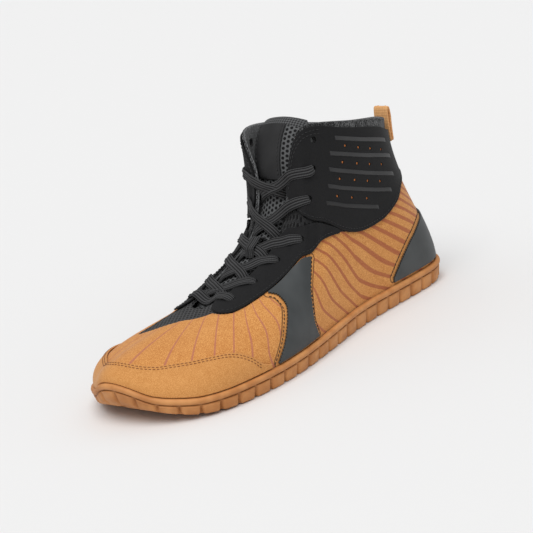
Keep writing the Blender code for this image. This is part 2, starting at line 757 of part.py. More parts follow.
def make_eyelet_cutter():
    """Makes the hidden pins that cut the eyelets through panels and upper."""
    mesh = bpy.data.meshes.new("eyelet_cutter")
    shape = bmesh.new()
    for _, rib, v in EYELETS:
        for side in ("lateral", "medial"):
            place = np.atleast_1d(side_rib(rib, side))
            middle = to_world(LAST.point(place, v)[0])
            tip = to_world(LAST.off(place, v, EYELET_LENGTH)[0])
            turn = (tip - middle).to_track_quat("Z", "Y").to_matrix().to_4x4()
            bmesh.ops.create_cone(
                shape,
                cap_ends=True,
                segments=EYELET_SIDES,
                radius1=EYELET_RADIUS * MM,
                radius2=EYELET_RADIUS * MM,
                depth=EYELET_LENGTH * MM,
                matrix=Matrix.Translation(middle) @ turn,
            )
    shape.to_mesh(mesh)
    shape.free()
    cutter = bpy.data.objects.new("eyelet_cutter", mesh)
    bpy.context.collection.objects.link(cutter)
    return hide(cutter)


def hide(thing):
    """Keeps a helper object out of the render and returns it."""
    thing.hide_render = True
    thing.display_type = "WIRE"
    return thing


def add_boolean(thing, other, operation):
    """Adds an exact Boolean of another object."""
    boolean = thing.modifiers.new(operation.lower(), "BOOLEAN")
    boolean.operation = operation
    boolean.object = other
    boolean.solver = "EXACT"


EDGE_RIBS = np.linspace(RIB["collar_corner"], RIB["toe_tip"], SEARCH_STEPS)
EDGE_POINTS = LAST.point(EDGE_RIBS, 1.0)


def eyelet_place(number):
    """Returns the rib, v and outside point of an eyelet on the outer side."""
    _, rib, v = EYELETS[number - 1]
    return rib, v, LAST.point(np.array([rib]), v)[0]


def edge_rib(number):
    """Returns the rib at which a lace from this eyelet crosses the edge of the throat."""
    target = eyelet_place(number)[2]
    if number > BAR_ROW:
        target = target + LACE_LEAN * (eyelet_place(number - 1)[2] - target)
    return EDGE_RIBS[np.argmin(np.linalg.norm(EDGE_POINTS - target, axis=1))]


def tongue_share(place):
    """Returns the share of the tongue's length at which its middle is nearest to a place."""
    shares = np.linspace(0, 1, SEARCH_STEPS)
    middles = np.array([TONGUE_FACE.row(share)[:2] for share in shares])
    return float(shares[np.argmin(np.linalg.norm(middles - place[[0, 2]], axis=1))])


def flap_run(number, side):
    """Returns the lace's path and up directions from its eyelet to the edge of the throat."""
    rib, v, _ = eyelet_place(number)
    ribs = side_rib(np.linspace(rib, edge_rib(number), LACE_SAMPLES), side)
    heights = np.linspace(v, 1.0, LACE_SAMPLES)
    return LAST.off(ribs, heights, LACE_LIFT), LAST.normal(ribs, heights)


def edge_place(number, side):
    """Returns the point of the throat's edge where a lace crosses it."""
    return LAST.point(np.atleast_1d(side_rib(edge_rib(number), side)), 1.0)[0]


def make_lace_bar(number):
    """Makes the straight bar between the two eyelets of a row."""
    near, near_up = flap_run(number, "lateral")
    far, far_up = flap_run(number, "medial")
    share = tongue_share(eyelet_place(number)[2]) + BAR_FORWARD
    middle = TONGUE_FACE.point(share, 0.0, LACE_ON_TONGUE)
    path = np.vstack([near, [middle], far[::-1]])
    ups = np.vstack([near_up, [TONGUE_FACE.up(share)], far_up[::-1]])
    return make_ribbon("lace_bar_" + str(number), path, ups, LACE_WIDTH / 2, LACE_THICKNESS, "lace_grey")


def make_lace_strand(name, number, side, over):
    """Makes one strand from an eyelet over its flap and down across the tongue to the other side."""
    other = "medial" if side == "lateral" else "lateral"
    flap, flap_up = flap_run(number, side)
    there = edge_place(number - 1, other)
    first = tongue_share(edge_place(number, side))
    last = tongue_share(there)
    path = list(flap)
    ups = list(flap_up)
    for past_middle in np.linspace(0, 1, STRAND_SAMPLES):
        side_share = LACE_END * past_middle
        share = first + (last - first) * (1 + side_share) / 2
        across = side_share * (there[1] - TONGUE_FACE.row(share)[2])
        path.append(TONGUE_FACE.point(share, across, LACE_ON_TONGUE + over * (1 - past_middle)))
        ups.append(TONGUE_FACE.out(share, across))
    return make_ribbon(name, path, ups, LACE_WIDTH / 2, LACE_THICKNESS, "lace_grey")


def make_lace_crossing(number):
    """Makes the two strands between a row and the one below it, joined where they cross."""
    name = "lace_crossing_" + str(number)
    under = make_lace_strand(name, number, "lateral", 0.0)
    over = make_lace_strand(name + "_over", number, "medial", LACE_THICKNESS * LACE_OVER)
    add_boolean(under, hide(over), "UNION")
    return under


def make_lace_keeper():
    """Makes the strap on the tongue that arches over the lace between two rows."""
    middle = np.mean([tongue_share(edge_place(row, "lateral")) for row in KEEPER_ROWS])
    low = CLEARANCE + KEEPER_THICKNESS / 2
    high = low + LACE_THICKNESS * (1 + LACE_OVER) + KEEPER_ARCH
    path = []
    ups = []
    for turn in np.linspace(-1, 1, KEEPER_SAMPLES):
        share = middle + turn * KEEPER_REACH
        lift = low + (high - low) * (1 - smooth_step(abs(turn), KEEPER_LEVEL_SHARE, 1.0))
        path.append(TONGUE_FACE.point(share, 0.0, lift))
        ups.append(TONGUE_FACE.up(share))
    return make_ribbon("lace_keeper", path, ups, KEEPER_HALF_WIDTH, KEEPER_THICKNESS, "lace_grey")


def clear_scene():
    """Removes every object of the scene."""
    for thing in list(bpy.data.objects):
        bpy.data.objects.remove(thing, do_unlink=True)


def main():
    """Builds every piece of the shoe."""
    clear_scene()
    make_outsole()
    make_insole()
    cutter = make_eyelet_cutter()
    punched = [make_upper()]
    for side in ("lateral", "medial"):
        eyestay = make_table_patch("eyestay_" + side, EYESTAY, side, EYESTAY_ROWS, "black_microfibre")
        ankle = make_table_patch("ankle_panel_" + side, ANKLE_PANEL, side, ANKLE_ROWS, "black_microfibre")
        punched.extend([eyestay, ankle])
        make_saddle(side)
    for thing in punched:
        add_boolean(thing, cutter, "DIFFERENCE")
    make_table_patch("toe_cap", TOE_CAP, "lateral", TOE_CAP_ROWS, "tan_nubuck")
    make_heel_counter()
    make_tongue()
    make_tongue_patch()
    make_pull_loop()
    make_lace_keeper()
    make_lace_bar(BAR_ROW)
    for number in range(BAR_ROW + 1, TOP_LACED_ROW + 1):
        make_lace_crossing(number)


main()
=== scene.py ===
"""Looks of the left barefoot shoe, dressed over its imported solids.

Tables are in millimetres on the shoe's own axes: s runs from heel to toe, y is negative on the outer
side, z is up from the floor. Ribs are numbered round the sole, from the back of the heel along the
outer side to the toe and back along the inner side. v runs up a rib from the sole (0) to the edge of
the throat or collar (1).
"""

import logging
import math
from dataclasses import dataclass
from enum import Enum
from typing import Callable, ClassVar, Optional, Sequence, Union

import bpy
import numpy as np
from mathutils import Matrix, Vector


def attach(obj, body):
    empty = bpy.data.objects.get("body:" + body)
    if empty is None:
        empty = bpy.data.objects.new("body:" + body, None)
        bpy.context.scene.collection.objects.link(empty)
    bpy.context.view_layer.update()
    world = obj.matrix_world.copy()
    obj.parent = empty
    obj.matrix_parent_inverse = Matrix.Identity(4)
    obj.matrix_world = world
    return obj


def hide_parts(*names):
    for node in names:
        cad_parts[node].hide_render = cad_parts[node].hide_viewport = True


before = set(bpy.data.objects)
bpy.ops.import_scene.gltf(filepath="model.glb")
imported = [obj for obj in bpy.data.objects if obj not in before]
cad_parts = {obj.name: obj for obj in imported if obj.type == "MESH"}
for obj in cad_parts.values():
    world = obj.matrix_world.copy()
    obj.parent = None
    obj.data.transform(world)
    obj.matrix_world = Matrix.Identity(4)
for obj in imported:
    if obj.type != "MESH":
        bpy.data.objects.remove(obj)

LOG = logging.getLogger("barefoot_shoe")
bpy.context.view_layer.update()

Array = np.ndarray
Colour = tuple[float, float, float, float]
Curve = Callable[[Array], Array]
Piece = bpy.types.Object
Node = bpy.types.Node
Socket = bpy.types.NodeSocket
Tree = bpy.types.NodeTree
Plug = Union[Socket, float, Colour]
Places = list[tuple[float, float]]

MM = 0.001
SMOOTH_DEG = 50.0
MIDDLE_S = 142.6
MIDDLE_Y = -3.8

# name, feather s and y, rise out and up, edge s y z, crown ds dy dz
RIBS = (
    ("heel_back", 2.0, 1.0, 4.0, 24, 12.8, 1.0, 105.5, 1.0, 0, -36),
    ("heel_corner", 8.8, -24.0, 0.8, 25, 21.2, -10.2, 106.5, 4.0, 1.0, -34),
    ("heel_side", 36.0, -33.0, 2.0, 27, 44.0, -22.5, 113.0, 0.5, -2.5, -34),
    ("rear_waist", 69.5, -34.3, 2.0, 28, 72.0, -28.0, 119.0, 0, -3, -34),
    ("ankle", 102.0, -36.7, 2.0, 28, 100.0, -27.0, 125.5, 2, -4, -34),
    ("collar_corner", 122.0, -40.0, 2.0, 28, 118.5, -21.5, 125.5, 6, -9, -32),
    ("shin", 141.0, -44.0, 2.0, 26, 126.0, -17.5, 108.0, 8, -13, -24),
    ("instep", 161.0, -48.0, 2.0, 23, 131.0, -14.5, 86.0, 10, -16, -14),
    ("midfoot", 183.0, -51.6, 2.5, 21, 142.0, -15.0, 68.0, 10, -18, -10),
    ("ball", 208.0, -53.0, 3.0, 19, 161.0, -15.5, 57.0, 12, -18, -7),
    ("fore", 232.5, -51.0, 3.0, 18, 180.0, -14.0, 50.0, 20, -17, -5),
    ("little_toe", 256.0, -44.5, 3.0, 17, 196.0, -10.0, 45.5, 28, -14, -5),
    ("toe_side", 274.5, -27.0, 2.5, 15, 204.0, -5.0, 43.5, 34, -6, -5),
    ("toe_tip", 282.8, 3.5, 2.0, 12.5, 206.5, 1.0, 43.0, 36, 1, -5),
    ("toe_inner", 273.5, 21.0, 2.5, 16.5, 204.0, 6.0, 43.5, 32, 6.5, -6),
    ("big_toe", 258.0, 37.5, 3.0, 21, 196.0, 8.0, 45.5, 24, 8.0, -9),
    ("fore_inner", 233.0, 44.0, 3.0, 15.5, 180.0, 10.0, 50.0, 13.5, 7.0, -13),
    ("ball_inner", 204.0, 45.0, 2.5, 18, 161.0, 9.5, 57.0, 7.0, 8.0, -13),
    ("mid_inner", 179.0, 41.5, 2.0, 20, 142.0, 9.0, 67.0, 6.5, 8.0, -16),
    ("instep_inner", 155.0, 37.0, 2.0, 24, 131.0, 9.5, 83.5, 4.0, 3.0, -20),
    ("shin_inner", 135.0, 33.5, 2.0, 26, 125.0, 13.0, 105.5, 0.0, -2.0, -28),
    ("corner_inner", 117.0, 31.5, 2.0, 28, 119.5, 22.5, 122.5, 0.5, -2.5, -32),
    ("ankle_inner", 99.0, 30.5, 2.0, 28, 100.0, 28.0, 123.5, 2, 1.5, -34),
    ("waist_inner", 69.0, 30.5, 2.0, 28, 72.0, 28.5, 117.2, 0, 1, -34),
    ("heel_inner", 36.0, 31.5, 2.0, 27, 44.0, 23.5, 109.5, 0.5, 2.0, -34),
    ("heel_corner_inner", 8.8, 25.0, 0.8, 25, 21.2, 12.2, 105.5, 4.0, -1.0, -34),
)
RIB_COUNT = len(RIBS)
TOE_RIB = 13

# s, underside z, rim top z of the sole
SOLE_PROFILE = (
    (-3, 4.1, 14.8),
    (7, 1.7, 13.7),
    (28, 0.0, 13.0),
    (70, 0.0, 13.0),
    (100, 0.0, 13.3),
    (140, 0.0, 12.6),
    (175, 0.0, 11.8),
    (203, 0.0, 11.7),
    (210, 0.1, 11.7),
    (233, 0.55, 11.7),
    (258, 2.5, 12.4),
    (270, 5.6, 14.4),
    (278, 9.6, 17.0),
    (287, 18.5, 26.5),
)

# rib, v: where the black panels and mesh meet the tan suede, all round
BLACK_LINE = (
    (0.0, 0.66),
    (1.0, 0.645),
    (1.8, 0.59),
    (2.3, 0.505),
    (3.0, 0.435),
    (3.6, 0.42),
    (4.3, 0.445),
    (5.0, 0.46),
    (6.4, 0.51),
    (7.3, 0.60),
    (8.3, 0.675),
    (9.5, 0.693),
    (10.2, 0.715),
    (10.7, 0.78),
    (11.2, 0.855),
    (12.42, 0.861),
    (13.15, 0.793),
    (13.92, 0.699),
    (14.3, 0.632),
    (14.5, 0.598),
    (14.62, 0.65),
    (14.82, 0.715),
    (15.2, 0.752),
    (15.45, 0.785),
)
# rib, v low, v high of the overlays on the outer side
ANKLE_PANEL = (
    (0.0, 0.66, 0.925),
    (1.0, 0.645, 0.935),
    (1.8, 0.59, 0.945),
    (2.3, 0.505, 0.955),
    (3.0, 0.435, 0.965),
    (3.6, 0.42, 0.97),
    (4.3, 0.455, 0.985),
    (5.0, 0.53, 0.985),
    (5.6, 0.592, 0.985),
    (6.2, 0.70, 0.985),
    (6.7, 0.87, 0.985),
)
EYESTAY = (
    (4.5, 0.448, 0.465),
    (5.0, 0.46, 0.515),
    (5.6, 0.482, 0.575),
    (6.4, 0.51, 0.66),
    (7.0, 0.57, 0.755),
    (7.5, 0.617, 0.88),
    (8.0, 0.655, 0.96),
    (8.5, 0.68, 0.985),
    (9.5, 0.693, 0.985),
    (10.2, 0.715, 0.985),
    (10.7, 0.78, 0.985),
    (11.2, 0.90, 0.985),
)
# rib, v of the upper edge of the toe cap; it and the slate layers start at the foot
TOE_CAP = (
    (9.05, 0.06),
    (9.3, 0.095),
    (9.72, 0.22),
    (10.15, 0.312),
    (10.55, 0.36),
    (11.12, 0.385),
    (11.68, 0.375),
    (12.15, 0.345),
    (12.5, 0.31),
    (12.9, 0.302),
    (13.5, 0.312),
    (14.1, 0.327),
    (14.7, 0.338),
    (15.4, 0.345),
    (15.85, 0.312),
    (16.28, 0.22),
    (16.7, 0.095),
    (16.95, 0.06),
)
FOOT_V = 0.03
# share of its height, rear rib, front rib of the midfoot saddle on the outer side
SADDLE = (
    (0.0, 6.9, 8.8),
    (0.3, 7.1, 8.5),
    (0.6, 7.05, 8.4),
    (0.85, 6.75, 8.7),
    (1.0, 6.5, 9.1),
)
# ribs from the back of the heel, v of the upper edge of the heel counter
HEEL_COUNTER = (
    (0.0, 0.375),
    (0.8, 0.37),
    (1.5, 0.335),
    (2.1, 0.26),
    (2.6, 0.15),
    (2.9, 0.06),
)
# number, rib, v of the eyelets on the outer side, from the toe up
EYELETS = (
    (1, 10.35, 0.865),
    (2, 9.5, 0.868),
    (3, 8.5, 0.853),
    (4, 6.85, 0.65),
    (5, 5.5, 0.69),
    (6, 4.85, 0.78),
    (7, 4.55, 0.915),
)
# name, s, z and y of the middle of the outer face, half width, drop at the side edges, thickness
TONGUE = (
    ("top", 104.5, 132.0, 0.5, 16.5, 3.4, 5.0),
    ("shoulder", 109.0, 128.4, 0.5, 20.0, 5.5, 5.5),
    ("collar", 115.0, 121.5, 0.5, 20.0, 5.5, 6.0),
    ("shin", 122.0, 108.0, -0.5, 19.0, 6.5, 5.5),
    ("instep", 127.0, 88.0, -2.5, 18.0, 8.0, 5.0),
    ("bend", 137.0, 70.5, -2.5, 18.0, 7.5, 4.5),
    ("midfoot", 149.0, 61.0, -2.5, 18.0, 7.5, 4.0),
    ("ball", 165.0, 53.5, -2.5, 18.0, 7.0, 4.0),
    ("fore", 182.0, 47.5, -2.5, 17.5, 6.5, 3.5),
    ("vamp", 198.0, 42.3, -2.5, 16.0, 5.5, 3.0),
    ("base", 212.0, 38.6, -2.5, 15.0, 4.0, 3.0),
)
# rib at mid height, number of the fan line there, lean in ribs for each v, half width as a share
FAN = (
    (0.0, 26.5, 4.0, 0.19),
    (1.6, 23.0, 5.0, 0.19),
    (3.45, 19.0, 5.0, 0.18),
    (5.25, 15.0, 5.6, 0.14),
    (7.21, 11.0, 4.2, 0.085),
    (8.16, 9.0, 2.7, 0.062),
    (9.33, 6.0, 1.4, 0.055),
    (10.23, 4.0, 0.1, 0.046),
    (12.62, 0.0, 0.0, 0.04),
    (13.0, -0.5, 0.0, 0.04),
)
FAN_MIDDLE_V = 0.45
# rib, v of the middle, length and width in millimetres, turn in degrees, depth in millimetres
CREASES = (
    (5.4, 0.47, 34.0, 5.0, -24.0, 0.55),
    (6.1, 0.60, 26.0, 4.0, -32.0, 0.45),
    (7.6, 0.44, 30.0, 6.0, 60.0, 0.40),
    (9.9, 0.52, 36.0, 7.0, 78.0, 0.35),
    (3.3, 0.62, 40.0, 7.0, 8.0, 0.40),
)


class Side(Enum):
    """The two sides of the shoe."""

    LATERAL = "lateral"
    MEDIAL = "medial"

    def rib(self, rib: Array) -> Array:
        """Returns the rib on this side for a rib of the outer side."""
        return np.asarray(rib, float) if self is Side.LATERAL else RIB_COUNT - np.asarray(rib, float)

    @property
    def other(self) -> "Side":
        """The opposite side."""
        return Side.MEDIAL if self is Side.LATERAL else Side.LATERAL


class Slot(Enum):
    """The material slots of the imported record."""

    GUM = "gum_rubber"
    SUEDE = "tan_suede"
    NUBUCK = "tan_nubuck"
    MICROFIBRE = "black_microfibre"
    MESH = "black_mesh"
    SLATE = "slate_synthetic"
    LACE = "lace_grey"
    WEBBING = "webbing_tan"
    FOOTBED = "footbed_foam"


def srgb(red: float, green: float, blue: float) -> Colour:
    """Turns an 8-bit display colour into a linear one.

    Args:
        red, green, blue: channels from 0 to 255.

    Returns:
        The linear colour with full alpha.
    """
    shares = np.array([red, green, blue]) / 255
    linear = np.where(shares <= 0.04045, shares / 12.92, ((shares + 0.055) / 1.055) ** 2.4)
    return (*(float(share) for share in linear), 1.0)


def unit(vectors: Array) -> Array:
    """Scales vectors in the last axis to length one."""
    return vectors / np.linalg.norm(vectors, axis=-1, keepdims=True)


def to_frame(points: Array) -> Array:
    """Turns table points in millimetres into metres in the frame, toe at -X."""
    x = MIDDLE_S - points[..., 0]
    y = points[..., 1] - MIDDLE_Y
    return np.stack([x, y, points[..., 2]], axis=-1) * MM


def smooth_step(x: Array, low: float, high: float) -> Array:
    """Rises smoothly from 0 at low to 1 at high."""
    share = np.clip((np.asarray(x, float) - low) / (high - low), 0, 1)
    return share * share * (3 - 2 * share)


def run_length(points: Array) -> Array:
    """Returns the length along a line of points, from 0 at the first."""
    return np.concatenate([[0], np.cumsum(np.linalg.norm(np.diff(points, axis=0), axis=1))])


def cubic(share: Array, step: Array, first: Array, second: Array, slope: Array, next_slope: Array) -> Array:
    """Returns values of a cubic between two knots.

    Args:
        share: places between the knots, from 0 to 1.
        step: the distance between the knots.
        first, second: values at the knots.
        slope, next_slope: slopes at the knots.

    Returns:
        The values at the places.
    """
    rest = 1 - share
    level = (1 + 2 * share) * rest**2 * first + share * share * (3 - 2 * share) * second
    return level + step * share * rest * (rest * slope - share * next_slope)


def monotone(xs: Sequence[float], ys: Sequence[float]) -> Curve:
    """Makes a smooth curve through points that does not overshoot.

    Args:
        xs: places, rising.
        ys: values at the places.

    Returns:
        The curve, held level past its ends.
    """
    knots = np.asarray(xs, float)
    values = np.asarray(ys, float)
    steps = np.diff(knots)
    slopes = np.diff(values) / steps
    tangents = np.concatenate([slopes[:1], np.zeros(len(knots) - 2), slopes[-1:]])
    for i in range(1, len(knots) - 1):
        if slopes[i - 1] * slopes[i] > 0:
            tangents[i] = 2 / (1 / slopes[i - 1] + 1 / slopes[i])

    def value(x: Array) -> Array:
        """Returns the curve's value."""
        x = np.clip(np.asarray(x, float), knots[0], knots[-1])
        i = np.clip(np.searchsorted(knots, x, side="right") - 1, 0, len(steps) - 1)
        share = (x - knots[i]) / steps[i]
        return cubic(share, steps[i], values[i], values[i + 1], tangents[i], tangents[i + 1])

    return value


def columns(table: Sequence[tuple], *picked: int) -> list[Curve]:
    """Returns curves of a table's columns over its first column."""
    places = [row[0] for row in table]
    return [monotone(places, [row[k] for row in table]) for k in picked]


def smooth_path(points: Array, count: int) -> Array:
    """Samples a smooth curve through points.

    Args:
        points: the points to pass, in order.
        count: how many samples to return.

    Returns:
        The samples, evenly spread over the run of the points.
    """
    knots = run_length(points)
    steps = np.diff(knots)
    tangents = np.gradient(points, knots, axis=0)
    at = np.linspace(0, knots[-1], count)
    i = np.clip(np.searchsorted(knots, at, side="right") - 1, 0, len(steps) - 1)
    share = ((at - knots[i]) / steps[i])[:, None]
    return cubic(share, steps[i][:, None], points[i], points[i + 1], tangents[i], tangents[i + 1])


class ClosedSpline:
    """Cubic spline through the rows of a table, closed on itself."""

    def __init__(self, knots: Array, rows: Array) -> None:
        """Solves the bends of the spline.

        Args:
            knots: places of the rows, with the closing one at the end.
            rows: the table's values.
        """
        self.knots = knots
        self.rows = rows
        self.steps = np.diff(knots)
        count = len(rows)
        matrix = np.zeros((count, count))
        right = np.zeros_like(rows)
        for i in range(count):
            before = self.steps[i - 1]
            after = self.steps[i]
            matrix[i, i - 1] += before
            matrix[i, i] += 2 * (before + after)
            matrix[i, (i + 1) % count] += after
            rise_after = (rows[(i + 1) % count] - rows[i]) / after
            right[i] = 6 * (rise_after - (rows[i] - rows[i - 1]) / before)
        self.bends = np.linalg.solve(matrix, right)

    def __call__(self, knot: Array) -> Array:
        """Returns the rows at places along the spline."""
        knot = np.mod(knot, self.knots[-1])
        i = np.clip(np.searchsorted(self.knots, knot, side="right") - 1, 0, len(self.rows) - 1)
        k = (i + 1) % len(self.rows)
        h = self.steps[i][:, None]
        b = (knot - self.knots[i])[:, None] / h
        a = 1 - b
        bend = (a**3 - a) * self.bends[i] + (b**3 - b) * self.bends[k]
        return a * self.rows[i] + b * self.rows[k] + bend * h * h / 6


@dataclass
class Last:
    """The shoe's surface: ribs from the sole up to the edge, closed round the foot."""

    sole_margin: float = 3.0
    feather_drop: float = 0.5
    sole_floor: float = 4.5
    floor_gap: float = 0.5
    wall_thickness: float = 2.0
    collar_padding: float = 3.0
    clearance: float = 0.4
    overlay_out: float = 1.4
    rib_step: float = 0.02
    v_step: float = 0.004
    feather_share: float = 0.75
    crease_rib: float = 24.0
    crease_v: float = 95.0
    padded_ribs: tuple = (3.0, 5.0)
    padded_heights: tuple = (0.66, 0.86)
    outline_points: int = 2000
    spine_points: int = 200
    spine_ends: tuple = (34.0, 246.0)

    def __post_init__(self) -> None:
        """Solves the spline and the sole's profile."""
        rows = np.array([row[1:] for row in RIBS], float)
        closed = np.vstack([rows, rows[:1]])
        foot = np.linalg.norm(np.diff(closed[:, :2], axis=0), axis=1)
        edge = np.linalg.norm(np.diff(closed[:, 4:7], axis=0), axis=1)
        steps = foot**self.feather_share * edge ** (1 - self.feather_share)
        self.knots = np.concatenate([[0], np.cumsum(steps)])
        self.spline = ClosedSpline(self.knots, rows)
        self.bottom, self.top = columns(SOLE_PROFILE, 1, 2)

    def rows_at(self, rib: Array) -> Array:
        """Returns the table's columns between ribs."""
        return self.spline(np.interp(np.mod(rib, RIB_COUNT), np.arange(RIB_COUNT + 1), self.knots))

    def feather(self, rib: Array) -> tuple[Array, Array]:
        """Returns the feather line's s and y and the level outward normal there."""
        run = unit(self.rows_at(rib + self.rib_step)[:, :2] - self.rows_at(rib - self.rib_step)[:, :2])
        return self.rows_at(rib)[:, :2], np.stack([run[:, 1], -run[:, 0]], axis=1)

    def outline(self, rib: Array, inset: Array) -> Array:
        """Returns s and y of the sole's outline, moved in by the inset."""
        place, normal = self.feather(rib)
        return place + normal * (self.sole_margin - np.asarray(inset))

    def rim(self, rib: Array) -> Array:
        """Returns the height of the sole's rim beside each rib."""
        return self.top(self.outline(rib, 0.0)[:, 0])

    def bare(self, rib: Array, v: Array) -> Array:
        """Returns the surface without creases, for flat arrays."""
        rows = self.rows_at(rib)
        place, normal = self.feather(rib)
        foot = np.column_stack([place, self.rim(rib) - self.feather_drop])
        rise = foot + np.column_stack([normal * rows[:, 2:3], rows[:, 3]])
        edge = rows[:, 4:7]
        crown = edge + rows[:, 7:10]
        v = v[:, None]
        w = 1 - v
        return w**3 * foot + 3 * v * w * w * rise + 3 * v * v * w * crown + v**3 * edge

    def creases(self, rib: Array, v: Array) -> Array:
        """Returns how far the listed creases move the surface out."""
        twin = np.minimum(np.mod(rib, RIB_COUNT), RIB_COUNT - np.mod(rib, RIB_COUNT))
        moved = np.zeros_like(twin)
        for middle_rib, middle_v, length, width, turn, depth in CREASES:
            run = (twin - middle_rib) * self.crease_rib
            rise = (v - middle_v) * self.crease_v
            along = run * math.cos(math.radians(turn)) + rise * math.sin(math.radians(turn))
            across = rise * math.cos(math.radians(turn)) - run * math.sin(math.radians(turn))
            share = (across / width) ** 2
            moved -= depth * (1 - share) * np.exp(-share / 2 - (2 * along / length) ** 2)
        return moved

    def off(self, rib: Array, v: Array, distance: Array = 0.0) -> Array:
        """Returns points a distance outside the surface.

        Args:
            rib, v: places on the surface, of any matching shapes.
            distance: millimetres outwards.

        Returns:
            The points, with a last axis of s, y and z.
        """
        rib, v, distance = np.broadcast_arrays(*(np.asarray(a, float) for a in (rib, v, distance)))
        shape = rib.shape
        rib = rib.ravel()
        v = v.ravel()
        reach = distance.ravel() + self.creases(rib, v)
        return (self.bare(rib, v) + self.normal(rib, v) * reach[:, None]).reshape(*shape, 3)

    def normal(self, rib: Array, v: Array) -> Array:
        """Returns the outward normals for flat arrays."""
        round_foot = self.bare(rib + self.rib_step, v) - self.bare(rib - self.rib_step, v)
        up_rib = self.bare(rib, v + self.v_step) - self.bare(rib, v - self.v_step)
        return unit(np.cross(round_foot, up_rib))

    def reach(self, rib: Array, v: Array, rib_step: float, v_step: float) -> Array:
        """Returns the millimetres that a whole rib or a whole v would be at each place.

        Args:
            rib, v: places on the surface, of any matching shapes.
            rib_step, v_step: the small step taken, one of them 0.

        Returns:
            The millimetres, in the places' shape.
        """
        rib, v = np.broadcast_arrays(np.asarray(rib, float), np.asarray(v, float))
        ahead = self.bare(rib.ravel() + rib_step, v.ravel() + v_step)
        behind = self.bare(rib.ravel() - rib_step, v.ravel() - v_step)
        return (np.linalg.norm(ahead - behind, axis=1) / (2 * (rib_step + v_step))).reshape(rib.shape)

    def reach_v(self, rib: Array, v: Array) -> Array:
        """Returns the millimetres that one whole v would be at each place."""
        return self.reach(rib, v, 0.0, self.v_step)

    def reach_rib(self, rib: Array, v: Array) -> Array:
        """Returns the millimetres that one whole rib would be at each place."""
        return self.reach(rib, v, self.rib_step, 0.0)

    def wall(self, rib: Array, v: Array) -> Array:
        """Returns the wall's thickness: thin, and padded at the collar."""
        behind = np.abs((np.asarray(rib, float) + RIB_COUNT / 2) % RIB_COUNT - RIB_COUNT / 2)
        collar = 1 - smooth_step(behind, *self.padded_ribs)
        return self.wall_thickness + self.collar_padding * collar * smooth_step(v, *self.padded_heights)

    def floor(self, s: Array) -> Array:
        """Returns the height of the cup's floor with its gap."""
        return self.bottom(s) + self.sole_floor + self.floor_gap

    def ribs_by_length(self, shares: Array) -> Array:
        """Returns ribs at shares of the sole's outline."""
        dense = np.linspace(0, RIB_COUNT, self.outline_points)
        length = run_length(self.outline(dense, 0.0))
        return np.interp(shares, length / length[-1], dense)

    def spine(self, s: Array) -> Array:
        """Returns points of the sole's middle line beside places along its outline."""
        along = np.clip(s, *self.spine_ends)
        sides = []
        for heel_rib in (0, RIB_COUNT):
            line = self.outline(np.linspace(heel_rib, TOE_RIB, self.spine_points), 0.0)
            sides.append(np.interp(along, line[:, 0], line[:, 1]))
        return np.column_stack([along, (sides[0] + sides[1]) / 2])


